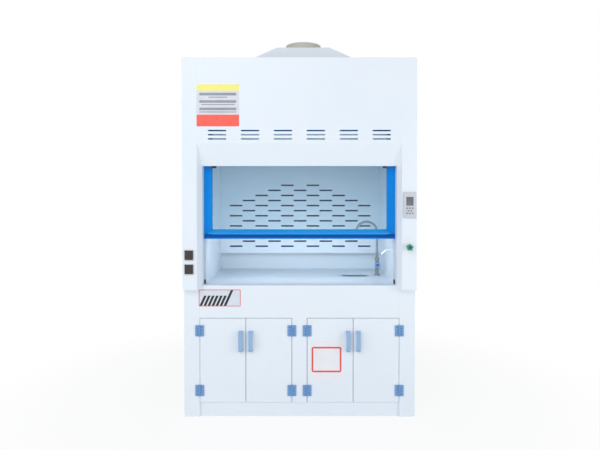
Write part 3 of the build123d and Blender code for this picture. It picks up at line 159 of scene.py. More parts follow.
def make_piece(name, points, faces, body, material, slot=None, smooth=True):
    """Put a computed surface into a mesh object that rides on a body."""
    mesh = bpy.data.meshes.new(name)
    mesh.from_pydata(points.tolist(), [], faces.tolist())
    mesh.update()
    mesh.polygons.foreach_set("use_smooth", np.full(len(mesh.polygons), smooth))
    mesh.materials.append(material)
    piece = bpy.data.objects.new(name, mesh)
    bpy.context.scene.collection.objects.link(piece)
    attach(piece, body)
    return piece


def grid_faces(rows, columns, around):
    """Quads of a rows by columns grid, whose columns close on themselves when around is true."""
    reach = columns if around else columns - 1
    row, column = np.meshgrid(np.arange(rows - 1), np.arange(reach), indexing="ij")
    following = (column + 1) % columns
    quads = np.stack(
        [
            row * columns + column,
            row * columns + following,
            (row + 1) * columns + following,
            (row + 1) * columns + column,
        ],
        axis=-1,
    )
    return quads.reshape(-1, 4)


def join(parts):
    """One list of points and faces from several (points, faces) pairs."""
    counts = np.cumsum([0] + [len(points) for points, _ in parts])
    points = np.concatenate([points for points, _ in parts])
    faces = np.concatenate([faces + start for (_, faces), start in zip(parts, counts)])
    return points, faces


def round_corners(width, height, radius, steps=6):
    """Outline of a rounded rectangle, once round.

    Each corner point is the corner's centre plus radius times (cos t, sin t), with t
    running over that corner's quarter turn.
    """
    turn = np.linspace(0, math.pi / 2, steps)
    angles = np.concatenate([turn + quarter * math.pi / 2 for quarter in range(4)])
    signs = np.repeat([(1, 1), (-1, 1), (-1, -1), (1, -1)], steps, axis=0)
    centres = signs * (width / 2 - radius, height / 2 - radius)
    return centres + radius * np.stack([np.cos(angles), np.sin(angles)], axis=1)


def plate_surface(outline, x, z, depth, thickness, edge):
    """A closed plate facing the front: the outline carried over a rounded edge section.

    The point at section step s is outline * (1 - inset(s)) in X and Z, and sits at
    depth - height(s): from the back's middle, out and round the edge, to the front's middle.
    """
    turn = np.linspace(0, math.pi / 2, 4)
    size = np.abs(outline).max(axis=0)
    inset = np.concatenate([[size.min()], [0], edge * (1 - np.cos(turn)), [size.min()]])
    height = np.concatenate([[0], [0], thickness - edge + edge * np.sin(turn), [thickness]])
    scale = 1 - inset[:, None] / size[None, :]
    scale[inset >= size.min()] = 1e-3
    flat = outline[None, :, :] * scale[:, None, :]
    points = np.empty((len(inset), len(outline), 3))
    points[..., 0] = x - flat[..., 0]
    points[..., 2] = z + flat[..., 1]
    points[..., 1] = at(depth) - height[:, None]
    count = len(outline)
    faces = grid_faces(len(inset), count, around=True)
    flat_points = points.reshape(-1, 3)
    hubs = np.array([flat_points[:count].mean(axis=0), flat_points[-count:].mean(axis=0)])
    start = len(flat_points)
    turns = np.arange(count)
    back = np.stack([turns, np.full(count, start), (turns + 1) % count, (turns + 1) % count], axis=1)
    last = start - count
    front = np.stack(
        [last + turns, last + (turns + 1) % count, np.full(count, start + 1), np.full(count, start + 1)],
        axis=1,
    )
    return np.concatenate([flat_points, hubs]), np.concatenate([faces, back, front])


def ring_surface(width, height, radius, line, x, z, depth, thickness):
    """A flat frame of even line width: the section of four corners carried round the outline."""
    outer = round_corners(width, height, radius)
    inner = round_corners(width - 2 * line, height - 2 * line, max(radius - line, 1e-4))
    rings = [(outer, 0), (outer, thickness), (inner, thickness), (inner, 0), (outer, 0)]
    flat = np.stack([outline for outline, _ in rings])
    points = np.empty((len(rings), len(outer), 3))
    points[..., 0] = x - flat[..., 0]
    points[..., 2] = z + flat[..., 1]
    points[..., 1] = at(depth) - np.array([rise for _, rise in rings])[:, None]
    return points.reshape(-1, 3), grid_faces(len(rings), len(outer), around=True)


def slant_surface(x, z, width, height, slope, depth, thickness):
    """A slanted stripe: the point at (u, v) is (x + width * u + slope * v, z + height * v)."""
    loop = np.array([(0, 0), (0, 1), (1, 1), (1, 0)], float)
    flat = np.stack([x + width * loop[:, 0] + slope * loop[:, 1], z + height * loop[:, 1]], axis=1)
    front = np.column_stack([flat[:, 0], np.full(4, at(depth) - thickness), flat[:, 1]])
    back = np.column_stack([flat[:, 0], np.full(4, at(depth)), flat[:, 1]])
    points = np.concatenate([back, front])
    faces = np.concatenate([grid_faces(2, 4, around=True), [[4, 5, 6, 7], [3, 2, 1, 0]]])
    return points, faces


def screw_surface(x, z, depth, radius):
    """A raised countersunk head with a cross recess.

    At (r, t) the height is dome(r) less a cross that is deep where |r cos t| or |r sin t|
    is under a fifth of the radius.
    """
    share = np.array([0.0001, 0.12, 0.24, 0.36, 0.50, 0.64, 0.80, 0.93, 1.0, 1.0])
    angle = np.linspace(0, 2 * math.pi, 24, endpoint=False)
    dome = radius * np.array([0.36, 0.36, 0.355, 0.345, 0.33, 0.30, 0.24, 0.16, 0.08, -0.12])
    flat_x = share[:, None] * np.cos(angle)
    flat_z = share[:, None] * np.sin(angle)
    arm = (np.minimum(np.abs(flat_x), np.abs(flat_z)) < 0.13) & (share[:, None] < 0.62)
    height = dome[:, None] - 0.30 * radius * arm
    points = np.stack([x - radius * flat_x, at(depth) - height, z + radius * flat_z], axis=-1)
    return points.reshape(-1, 3), grid_faces(len(share), len(angle), around=True)


def clean(piece):
    """Merge doubles and drop the folded quads that poles leave, then point faces outwards."""
    work = bmesh.new()
    work.from_mesh(piece.data)
    bmesh.ops.remove_doubles(work, verts=work.verts, dist=1e-6)
    bmesh.ops.dissolve_degenerate(work, dist=1e-7, edges=work.edges)
    bmesh.ops.recalc_face_normals(work, faces=work.faces)
    work.to_mesh(piece.data)
    work.free()
    return piece


def bead_surface(start, end, radius, pitch, sides=8):
    """A hot-air weld bead: a round run whose radius ripples along its length.

    At distance d the radius is radius * (0.86 + 0.14 * |sin(pi * d / pitch)|), closed by
    a pole at either end.
    """
    start, end = np.array(start, float), np.array(end, float)
    length = np.linalg.norm(end - start)
    along = (end - start) / length
    helper = np.array([0, 0, 1.0]) if abs(along[2]) < 0.9 else np.array([1.0, 0, 0])
    u = np.cross(along, helper)
    u = u / np.linalg.norm(u)
    v = np.cross(along, u)
    count = max(8, int(length / pitch) * 4 + 1)
    distance = np.linspace(0, length, count)
    ripple = radius * (0.86 + 0.14 * np.abs(np.sin(math.pi * distance / pitch)))
    ripple[0] = ripple[-1] = 1e-5
    angle = np.linspace(0, 2 * math.pi, sides, endpoint=False)
    ring = np.cos(angle)[:, None] * u + np.sin(angle)[:, None] * v
    points = start + distance[:, None, None] * along + ripple[:, None, None] * ring
    return points.reshape(-1, 3), grid_faces(count, sides, around=True)


def ring_bead(ring_radius, centre, radius, pitch):
    """A rippled bead round the collar: a small circle carried round a large one."""
    count = int(2 * math.pi * ring_radius / pitch) * 4
    turn = np.linspace(0, 2 * math.pi, count, endpoint=False)
    ripple = radius * (0.86 + 0.14 * np.abs(np.sin(turn * count / 8)))
    angle = np.linspace(0, 2 * math.pi, 8, endpoint=False)
    reach = ring_radius + ripple[:, None] * np.cos(angle)
    points = np.stack(
        [
            centre[0] + reach * np.cos(turn)[:, None],
            centre[1] + reach * np.sin(turn)[:, None],
            centre[2] + ripple[:, None] * np.sin(angle),
        ],
        axis=-1,
    )
    quads = grid_faces(count + 1, 8, around=True) % (count * 8)
    return points.reshape(-1, 3), quads


# Materials


class Finish:
    """A Principled material whose colour, roughness and bump vary over the surface."""

    def __init__(self, name, colour, roughness):
        self.material = bpy.data.materials.new(name)
        self.material.use_nodes = True
        self.nodes = self.material.node_tree.nodes
        self.links = self.material.node_tree.links
        self.shader = self.nodes["Principled BSDF"]
        self.shader.inputs["Base Color"].default_value = colour
        self.shader.inputs["Roughness"].default_value = roughness
        self.material.diffuse_color = colour
        self.colour = None
        self.places = self.nodes.new("ShaderNodeTexCoord").outputs["Object"]

    def value(self, name, number):
        """Set one of the shader's own sockets."""
        self.shader.inputs[name].default_value = number
        return self

    def noise(self, scale, detail=3.0, stretch=(1, 1, 1)):
        """A noise pattern in the object's own coordinates, in cycles a metre."""
        mapping = self.nodes.new("ShaderNodeMapping")
        mapping.inputs["Scale"].default_value = stretch
        self.links.new(self.places, mapping.inputs["Vector"])
        texture = self.nodes.new("ShaderNodeTexNoise")
        texture.inputs["Scale"].default_value = scale
        texture.inputs["Detail"].default_value = detail
        self.links.new(mapping.outputs["Vector"], texture.inputs["Vector"])
        return texture.outputs["Fac"]

    def ramp(self, factor, low, high, start, end):
        """Map a factor from start..end to low..high, held at both ends."""
        node = self.nodes.new("ShaderNodeMapRange")
        node.inputs["From Min"].default_value = start
        node.inputs["From Max"].default_value = end
        node.inputs["To Min"].default_value = low
        node.inputs["To Max"].default_value = high
        self.links.new(factor, node.inputs["Value"])
        return node.outputs["Result"]

    def both(self, first, second):
        """The product of two factors."""
        node = self.nodes.new("ShaderNodeMath")
        node.operation = "MULTIPLY"
        self.links.new(first, node.inputs[0])
        self.links.new(second, node.inputs[1])
        return node.outputs["Value"]

    def axis(self, name):
        """One of the object's own coordinates, in metres."""
        node = self.nodes.new("ShaderNodeSeparateXYZ")
        self.links.new(self.places, node.inputs["Vector"])
        return node.outputs[name]

    def blend(self, factor, other):
        """Mix the colour so far with another by a factor."""
        mix = self.nodes.new("ShaderNodeMix")
        mix.data_type = "RGBA"
        if self.colour is None:
            mix.inputs["A"].default_value = self.shader.inputs["Base Color"].default_value
        else:
            self.links.new(self.colour, mix.inputs["A"])
        mix.inputs["B"].default_value = other
        self.links.new(factor, mix.inputs["Factor"])
        self.colour = mix.outputs["Result"]
        self.links.new(self.colour, self.shader.inputs["Base Color"])
        return self

    def rough(self, factor, low, high):
        """Let the roughness wander between two values."""
        self.links.new(self.ramp(factor, low, high, 0.3, 0.7), self.shader.inputs["Roughness"])
        return self

    def bump(self, factor, distance, strength=1.0):
        """Raise the surface by a pattern, on top of any bump so far."""
        node = self.nodes.new("ShaderNodeBump")
        node.inputs["Distance"].default_value = distance
        node.inputs["Strength"].default_value = strength
        self.links.new(factor, node.inputs["Height"])
        before = self.shader.inputs["Normal"]
        if before.is_linked:
            self.links.new(before.links[0].from_socket, node.inputs["Normal"])
        self.links.new(node.outputs["Normal"], before)
        return self


def sheet_finish(name, colour, shade):
    """Satin extruded polypropylene sheet: slow waves, faint clouding and fine scuffs."""
    finish = Finish(name, colour, 0.34)
    cloud = finish.noise(1.7, 4.0)
    finish.blend(finish.ramp(cloud, 0.0, 0.55, 0.40, 0.72), shade)
    scuff = finish.noise(60.0, 6.0, (0.25, 1.0, 2.2))
    finish.rough(scuff, 0.29, 0.41)
    finish.bump(finish.noise(2.6, 1.0), 0.0014, 0.55)
    finish.bump(finish.noise(240.0, 2.0), 0.00004, 0.5)
    finish.value("Specular IOR Level", 0.42)
    return finish


def moulded_finish(name, colour, shade, roughness=0.38, grain=900.0):
    """Moulded plastic with a fine spark texture and slightly uneven colour."""
    finish = Finish(name, colour, roughness)
    finish.blend(finish.ramp(finish.noise(14.0, 3.0), 0.0, 0.6, 0.38, 0.70), shade)
    finish.rough(finish.noise(90.0, 4.0), roughness - 0.05, roughness + 0.07)
    finish.bump(finish.noise(grain, 2.0), 0.00005, 0.6)
    return finish


def metal_finish(name, colour, roughness, stretch=(1, 1, 40)):
    """Bright or brushed metal with fine draw lines."""
    finish = Finish(name, colour, roughness).value("Metallic", 1.0)
    lines = finish.noise(70.0, 5.0, stretch)
    finish.rough(lines, roughness - 0.07, roughness + 0.10)
    finish.blend(finish.ramp(finish.noise(25.0, 2.0), 0.0, 0.35, 0.35, 0.75), linear(70, 70, 74))
    finish.bump(lines, 0.00003, 0.5)
    return finish


def glass_finish(name, colour):
    """Clear toughened glass that lets lamps through to the chamber."""
    finish = Finish(name, colour, 0.02)
    finish.value("Transmission Weight", 1.0).value("IOR", 1.45)
    smear = finish.noise(5.0, 6.0, (1, 1, 0.35))
    finish.links.new(finish.ramp(smear, 0.0, 0.035, 0.55, 0.80), finish.shader.inputs["Roughness"])
    clear = finish.nodes.new("ShaderNodeBsdfTransparent")
    clear.inputs["Color"].default_value = colour
    path = finish.nodes.new("ShaderNodeLightPath")
    mix = finish.nodes.new("ShaderNodeMixShader")
    finish.links.new(path.outputs["Is Shadow Ray"], mix.inputs["Fac"])
    finish.links.new(finish.shader.outputs["BSDF"], mix.inputs[1])
    finish.links.new(clear.outputs["BSDF"], mix.inputs[2])
    finish.links.new(mix.outputs["Shader"], finish.nodes["Material Output"].inputs["Surface"])
    return finish


def distance_from(finish, x, z):
    """Distance from a point in the X and Z plane, as a node output."""
    mapping = finish.nodes.new("ShaderNodeMapping")
    mapping.inputs["Location"].default_value = (-x, 0, -z)
    mapping.inputs["Scale"].default_value = (1, 0, 1)
    finish.links.new(finish.places, mapping.inputs["Vector"])
    length = finish.nodes.new("ShaderNodeVectorMath")
    length.operation = "LENGTH"
    finish.links.new(mapping.outputs["Vector"], length.inputs[0])
    return length.outputs["Value"]


def dress(node, finish):
    """Give a CAD node its finish."""
    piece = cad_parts[node]
    piece.data.materials.clear()
    piece.data.materials.append(finish.material)


def clear_default_scene():
    """Remove what a new file holds, apart from the frame."""
    for name in ("Cube", "Light", "Camera"):
        thing = bpy.data.objects.get(name)
        if thing:
            bpy.data.objects.remove(thing)


# Studio parts


def seen_directly(nodes, links):
    """1 for rays from the eye and for those that a mirror or glass sends on."""
    path = nodes.new("ShaderNodeLightPath")
    first = nodes.new("ShaderNodeMath")
    first.operation = "MAXIMUM"
    links.new(path.outputs["Is Camera Ray"], first.inputs[0])
    links.new(path.outputs["Is Glossy Ray"], first.inputs[1])
    second = nodes.new("ShaderNodeMath")
    second.operation = "MAXIMUM"
    links.new(first.outputs["Value"], second.inputs[0])
    links.new(path.outputs["Is Transmission Ray"], second.inputs[1])
    return second.outputs["Value"]


def pale_surface(name, share):
    """A floor that shows as near white, takes a soft shadow and fades to white further out."""
    material = bpy.data.materials.new(name)
    material.use_nodes = True
    nodes, links = material.node_tree.nodes, material.node_tree.links
    shader = nodes["Principled BSDF"]
    shader.inputs["Base Color"].default_value = (0.86, 0.88, 0.90, 1)
    shader.inputs["Roughness"].default_value = 0.9
    glow = nodes.new("ShaderNodeEmission")
    glow.inputs["Color"].default_value = (1, 1, 1, 1)
    places = nodes.new("ShaderNodeTexCoord")
    reach = nodes.new("ShaderNodeVectorMath")
    reach.operation = "LENGTH"
    links.new(places.outputs["Object"], reach.inputs[0])
    fade = nodes.new("ShaderNodeMapRange")
    fade.interpolation_type = "SMOOTHSTEP"
    fade.inputs["From Min"].default_value = 0.9
    fade.inputs["From Max"].default_value = 2.6
    fade.inputs["To Min"].default_value = share
    fade.inputs["To Max"].default_value = 1.0
    links.new(reach.outputs["Value"], fade.inputs["Value"])
    weight = nodes.new("ShaderNodeMath")
    weight.operation = "MULTIPLY"
    links.new(fade.outputs["Result"], weight.inputs[1])
    links.new(seen_directly(nodes, links), weight.inputs[0])
    mix = nodes.new("ShaderNodeMixShader")
    links.new(weight.outputs["Value"], mix.inputs["Fac"])
    links.new(shader.outputs["BSDF"], mix.inputs[1])
    links.new(glow.outputs["Emission"], mix.inputs[2])
    links.new(mix.outputs["Shader"], nodes["Material Output"].inputs["Surface"])
    return material


def soft_light(context, name, place, target, size, power):
    """A rectangular soft light that looks at a point."""
    lamp = bpy.data.lights.new(name, "AREA")
    lamp.shape = "RECTANGLE"
    lamp.size, lamp.size_y = size
    lamp.energy = power
    light = bpy.data.objects.new(name, lamp)
    context.scene.collection.objects.link(light)
    light.location = place
    light.rotation_euler = (Vector(target) - Vector(place)).to_track_quat("-Z", "Y").to_euler()
    return light


# Settings


class FumeHoodFinishSettings(bpy.types.PropertyGroup):
    sheet_colour: FloatVectorProperty(
        name="Sheet colour",
        description="Colour of the white polypropylene sheets",
        subtype="COLOR",
        size=4,
        min=0.0,
        max=1.0,
        default=linear(231, 238, 245),
    )
    # Painted light: the liner is the same white sheet given a bluer colour, which stands in for the blue
    # light that the sash and its glass cast into the chamber.
    liner_blue_cast_colour: FloatVectorProperty(
        name="Liner colour",
        description="Colour of the sheets that line the chamber",
        subtype="COLOR",
        size=4,
        min=0.0,
        max=1.0,
        default=linear(226, 238, 248),
    )
    sash_colour: FloatVectorProperty(
        name="Sash colour",
        description="Colour of the blue sash frame",
        subtype="COLOR",
        size=4,
        min=0.0,
        max=1.0,
        default=linear(0, 142, 232),
    )
    # Painted light: the handle is the frame's blue made lighter, which stands in for the light falling on
    # its upper slope from above.
    handle_lit_colour: FloatVectorProperty(
        name="Handle colour",
        description="Colour of the lift handle along the sash",
        subtype="COLOR",
        size=4,
        min=0.0,
        max=1.0,
        default=linear(24, 160, 240),
    )
    fitting_colour: FloatVectorProperty(
        name="Hinge and handle colour",
        description="Colour of the pale blue hinges and door handles",
        subtype="COLOR",
        size=4,
        min=0.0,
        max=1.0,
        default=linear(112, 156, 204),
    )
    glass_tint: FloatVectorProperty(
        name="Glass tint",
        description="Tint of the sash glass",
        subtype="COLOR",
        size=4,
        min=0.0,
        max=1.0,
        default=(0.74, 0.86, 0.91, 1.0),
    )


class FumeHoodDetailSettings(bpy.types.PropertyGroup):
    bead_radius: FloatProperty(
        name="Weld bead radius",
        description="Radius of the hot-air weld beads in the corners",
        default=0.0022,
        unit="LENGTH",
    )
    bead_pitch: FloatProperty(
        name="Weld ripple",
        description="Distance between two ripples of a weld bead",
        default=0.006,
        unit="LENGTH",
    )
    screw_radius: FloatProperty(
        name="Screw head radius",
        description="Radius of the hinge screws' heads",
        default=0.0034,
        unit="LENGTH",
    )
    plate_thickness: FloatProperty(
        name="Plate thickness",
        description="Thickness of the plain plates on the front",
        default=0.0012,
        unit="LENGTH",
    )
    stripe_count: IntProperty(
        name="Stripes",
        description="Number of slanted stripes on the lower plate",
        default=7,
        min=1,
    )


class FumeHoodStageSettings(bpy.types.PropertyGroup):
    key_power: FloatProperty(
        name="Key light",
        description="Power of the large soft light in front and above",
        default=62.0,
        unit="POWER",
    )
    fill_power: FloatProperty(
        name="Fill light",
        description="Power of the low soft light in front",
        default=28.0,
        unit="POWER",
    )
    side_power: FloatProperty(
        name="Side lights",
        description="Power of the right soft light, of which the left one takes a share",
        default=32.0,
        unit="POWER",
    )
    opening_power: FloatProperty(
        name="Opening light",
        description="Power of the soft light that comes in under the sash",
        default=1.5,
        unit="POWER",
    )
    world_strength: FloatProperty(
        name="Room light",
        description="Strength of the even light from all round",
        default=0.50,
        min=0.0,
    )
    floor_shadow: BoolProperty(
        name="Floor shadow",
        description="Keep the object's shadow on the pale floor",
        default=True,
    )


# Operators


class HOOD_OT_finish_sheets(bpy.types.Operator):
    """Give the white sheets, the liner, the collar and the lamp their finishes"""

    bl_idname = "fume_hood.finish_sheets"
    bl_label = "Finish the sheets"

    def execute(self, context):
        settings = context.scene.fume_hood_finish
        outer = sheet_finish("white_sheet", settings.sheet_colour, linear(224, 233, 243))
        # Painted light: the liner sheets are a bluer copy of the white sheet, the blue standing in for light
        # from the blue sash and tinted glass.
        liner = sheet_finish("liner_sheet_blue_cast", settings.liner_blue_cast_colour, linear(214, 231, 246))
        # Painted shade: on the back panels' chamber face, above about 0.985 m, the sheet is painted dark
        # blue to stand in for the shade in the plenum behind the baffle slots. Below that the face takes the
        # liner's bluer colour, which is painted light too.
        plenum = sheet_finish("plenum_painted_shade", settings.sheet_colour, linear(224, 233, 243))
        above = plenum.ramp(plenum.axis("Z"), 0.0, 1.0, 0.985, 1.010)
        inside = plenum.ramp(plenum.axis("Y"), 1.0, 0.0, at(0.8425), at(0.8435))
        plenum.blend(inside, settings.liner_blue_cast_colour)
        plenum.blend(plenum.both(inside, above), linear(26, 78, 146))
        for node in (
            "outer_side_panels", "roof_panel", "front_fascia", "front_posts", "front_sill",
            "duct_transition", "base_side_panels", "base_floor", "base_divider", "base_front_frame",
            "base_kick", "door_1", "door_2", "door_3", "door_4",
        ):
            dress(node, outer)
        for node in (
            "liner_side_walls", "liner_ceiling", "baffle", "upper_baffle", "worktop", "sash_guides",
        ):
            dress(node, liner)
        dress("back_panels", plenum)
        dress("wall_outlet", moulded_finish("nozzle_plastic", linear(226, 233, 240), linear(210, 220, 230)))
        collar = moulded_finish("collar_plastic", linear(196, 191, 180), linear(184, 180, 170), 0.5)
        dress("duct_collar", collar)
        lamp = moulded_finish("lamp_housing", linear(226, 230, 232), linear(212, 218, 222), 0.45)
        dress("lamp_fitting", lamp)
        return {"FINISHED"}


class HOOD_OT_finish_sash(bpy.types.Operator):
    """Give the sash, its glass, its stops and the counterbalance their finishes"""

    bl_idname = "fume_hood.finish_sash"
    bl_label = "Finish the sash"

    def execute(self, context):
        settings = context.scene.fume_hood_finish
        blue = sheet_finish("blue_frame", settings.sash_colour, linear(0, 126, 212))
        blue.value("Specular IOR Level", 0.14)
        # Painted shadow: a darker band on the bottom rail, from 1.158 m to 1.192 m up, stands in for the
        # shadow that the handle lip casts on it.
        level = blue.axis("Z")
        shade = blue.both(blue.ramp(level, 0.0, 1.0, 1.158, 1.166), blue.ramp(level, 1.0, 0.0, 1.184, 1.192))
        blue.blend(shade, linear(0, 84, 166))
        dress("sash_frame", blue)
        # Painted light: the lip takes a lighter copy of the frame's blue, which stands in for the light on
        # its upper slope.
        lip = sheet_finish("blue_lip_painted_light", settings.handle_lit_colour, linear(22, 140, 226))
        dress("sash_handle", lip)
        dress("sash_glass", glass_finish("sash_glass", settings.glass_tint))
        dress("sash_stops", moulded_finish("dark_rubber", linear(48, 46, 52), linear(60, 58, 62), 0.7))
        bright = metal_finish("bright_steel", linear(178, 180, 184), 0.28)
        for node in ("pulley_shaft", "pulley_brackets"):
            dress(node, bright)
        rope = metal_finish("steel_rope", linear(160, 162, 166), 0.35)
        lay = rope.noise(900.0, 1.0, (1, 1, 0.35))
        rope.bump(lay, 0.0003, 0.9)
        for node in ("sash_lift_cables", "weight_cables", "cable_turns"):
            dress(node, rope)
        dress("counterweights", metal_finish("weight_steel", linear(118, 120, 124), 0.45, (1, 1, 6)))
        return {"FINISHED"}


class HOOD_OT_finish_controls(bpy.types.Operator):
    """Give the controller, sockets and valve their finishes"""

    bl_idname = "fume_hood.finish_controls"
    bl_label = "Finish the controls"

    def execute(self, context):
        case = moulded_finish("controller_plastic", linear(201, 204, 211), linear(192, 196, 204), 0.42)
        dress("controller_case", case)
        screen = Finish("screen", linear(88, 93, 99), 0.12)
        low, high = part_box("controller_screen")
        fade = screen.ramp(screen.axis("Z"), 0.0, 0.5, high.z, low.z)
        screen.blend(fade, linear(122, 126, 132)).value("Coat Weight", 0.6)
        screen.rough(screen.noise(40.0, 3.0), 0.10, 0.18)
        dress("controller_screen", screen)
        key_colours = {
            1: (104, 110, 122), 2: (70, 84, 128), 3: (104, 110, 122), 4: (128, 122, 118),
            5: (128, 122, 118), 6: (110, 106, 110), 7: (92, 100, 116), 8: (126, 112, 106),
        }
        for number, colour in key_colours.items():
            key = moulded_finish(f"key_rubber_{number}", linear(*colour), linear(96, 98, 104), 0.55)
            dress(f"controller_key_{number}", key)
        frame_plastic = moulded_finish("socket_plastic", linear(206, 206, 208), linear(190, 191, 195), 0.4)
        pin_zone = frame_plastic.ramp(frame_plastic.axis("Y"), 1.0, 0.0, at(-0.0062), at(-0.0060))
        frame_plastic.blend(pin_zone, linear(44, 41, 42))
        dress("socket_bodies", frame_plastic)
        lid = moulded_finish("lid_plastic", linear(46, 42, 41), linear(62, 58, 58), 0.36)
        for node in ("socket_lid_upper", "socket_lid_lower"):
            dress(node, lid)
        dress("remote_valve", metal_finish("valve_metal", linear(196, 190, 172), 0.3))
        green = moulded_finish("green_knob", linear(44, 158, 92), linear(30, 128, 78), 0.3)
        cap = green.ramp(green.axis("Y"), 1.0, 0.0, at(-0.0454), at(-0.0452))
        green.blend(cap, linear(22, 62, 160))
        dress("valve_knob", green)
        return {"FINISHED"}


class HOOD_OT_finish_plumbing(bpy.types.Operator):
    """Give the tap, the cup sink and the trap their finishes"""

    bl_idname = "fume_hood.finish_plumbing"
    bl_label = "Finish the plumbing"

    def execute(self, context):
        coat = moulded_finish("coated_metal", linear(140, 146, 154), linear(122, 129, 139), 0.34, 1400.0)
        coat.value("Coat Weight", 0.25)
        for node in ("faucet_body", "faucet_spout"):
            dress(node, coat)
        knob = moulded_finish("blue_knob", linear(88, 104, 132), linear(78, 94, 124), 0.35)
        low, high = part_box("faucet_knob")
        radius = distance_from(knob, (low.x + high.x) / 2, (low.z + high.z) / 2)
        knob.blend(knob.ramp(radius, 1.0, 0.0, 0.0165, 0.0172), linear(176, 196, 218))
        knob.blend(knob.ramp(radius, 1.0, 0.0, 0.0125, 0.0132), linear(34, 104, 196))
        knob.blend(knob.ramp(radius, 1.0, 0.0, 0.0042, 0.0048), linear(36, 62, 104))
        dress("faucet_knob", knob)
        tub = moulded_finish("sink_plastic", linear(196, 212, 228), linear(184, 202, 220), 0.32)
        low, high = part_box("cup_sink")
        # Painted shade: below the rim the tub is darkened, which stands in for the shade inside the sink.
        painted_sink_shade = tub.ramp(tub.axis("Z"), 1.0, 0.0, high.z - 0.006, high.z - 0.003)
        tub.blend(painted_sink_shade, linear(84, 94, 106))
        dress("cup_sink", tub)
        dress("sink_trap", moulded_finish("trap_plastic", linear(170, 178, 188), linear(156, 166, 178), 0.4))
        return {"FINISHED"}


class HOOD_OT_finish_fittings(bpy.types.Operator):
    """Give the hinges and door handles their finishes"""

    bl_idname = "fume_hood.finish_fittings"
    bl_label = "Finish the hinges and handles"

    def execute(self, context):
        settings = context.scene.fume_hood_finish
        pale = moulded_finish("pale_blue_plastic", settings.fitting_colour, linear(104, 148, 200), 0.36)
        # Painted highlight: the parts that stand out furthest, such as the hinge knuckles, are made a
        # lighter blue to stand in for the light catching them.
        painted_proud_highlight = pale.ramp(pale.axis("Y"), 1.0, 0.0, at(0.0385), at(0.0390))
        pale.blend(painted_proud_highlight, linear(146, 180, 216))
        dress("hinge_frame_leaves", pale)
        for number in range(1, 5):
            dress(f"door_{number}_handle_and_hinge_leaves", pale)
        return {"FINISHED"}


class HOOD_OT_add_plates(bpy.types.Operator):
    """Add the plain coloured plates on the fascia, the cupboard and the third door"""

    bl_idname = "fume_hood.add_plates"
    bl_label = "Add the plates"

    def execute(self, context):
        thick = context.scene.fume_hood_detail.plate_thickness
        stripe_count = context.scene.fume_hood_detail.stripe_count
        film = thick * 0.25

        upper = moulded_finish("plate_print", linear(216, 219, 226), linear(208, 212, 220), 0.3)
        x, z, width, height = FASCIA_PLATE
        yellow_edge, red_edge = z + height / 2 - YELLOW_BAND, z - height / 2 + RED_BAND
        yellow = upper.ramp(upper.axis("Z"), 0.0, 1.0, yellow_edge - 1e-4, yellow_edge)
        upper.blend(yellow, linear(243, 236, 120))
        upper.blend(upper.ramp(upper.axis("Z"), 1.0, 0.0, red_edge, red_edge + 1e-4), linear(245, 96, 80))
        surface = plate_surface(round_corners(width, height, 0.003), x, z, 0.0, thick, thick / 3)
        clean(make_piece("fascia_plate", *surface, CARCASS, upper.material, smooth=False))
        bars = []
        for row, (length, tall) in enumerate(
            (LONG_BAR, SHORT_BAR, LONG_BAR, MIDDLE_BAR, LONG_BAR, LAST_BAR)
        ):
            level = z + FIRST_BAR_RISE - row * BAR_PITCH + (THIN_BAR_RISE if row % 2 else 0.0)
            outline = round_corners(length, tall, tall / 3)
            bars.append(plate_surface(outline, x, level, -thick, film, film / 3))
        ink = moulded_finish("grey_print", linear(150, 154, 166), linear(134, 138, 150), 0.45)
        clean(make_piece("fascia_plate_bars", *join(bars), CARCASS, ink.material, smooth=False))

        pale = moulded_finish("lower_plate_print", linear(216, 223, 232), linear(208, 216, 226), 0.3)
        x, z, width, height = CUPBOARD_PLATE
        outline = round_corners(width, height, PLATE_INSET)
        surface = plate_surface(outline, x, z, BASE_FRONT, thick, thick / 3)
        clean(make_piece("cupboard_plate", *surface, CARCASS, pale.material, smooth=False))
        red = moulded_finish("red_print", linear(238, 84, 78), linear(228, 74, 70), 0.35)
        ring = ring_surface(width - 0.004, height - 0.004, 0.005, 0.004, x, z, BASE_FRONT - thick, film)
        clean(make_piece("cupboard_plate_border", *ring, CARCASS, red.material))
        stripes = []
        left, bottom = x - width / 2 + PLATE_INSET, z - height / 2 + PLATE_INSET
        for number in range(stripe_count):
            corner = left + number * STRIPE_PITCH
            reach = STRIPE_TALL
            if number == stripe_count - 1:
                reach = height - LAST_STRIPE_INSET
            slope = STRIPE_LEAN * reach / STRIPE_TALL
            stripe = slant_surface(corner, bottom, STRIPE_WIDE, reach, slope, BASE_FRONT - thick, film)
            stripes.append(stripe)
        black = moulded_finish("black_print", linear(26, 26, 28), linear(40, 40, 44), 0.4)
        clean(make_piece("cupboard_plate_stripes", *join(stripes), CARCASS, black.material, smooth=False))

        card = moulded_finish("door_card", linear(236, 235, 239), linear(231, 229, 234), 0.42)
        x, z, width, height = DOOR_CARD
        surface = plate_surface(round_corners(width, height, 0.002), x, z, BASE_FRONT, thick / 2, thick / 6)
        clean(make_piece("door_3_card", *surface, "door_3", card.material, smooth=False))
        ring = ring_surface(*CARD_OUTLINE, 0.014, 0.011, x + 0.002, z + 0.009, BASE_FRONT - thick / 2, film)
        clean(make_piece("door_3_card_border", *ring, "door_3", red.material))
        return {"FINISHED"}


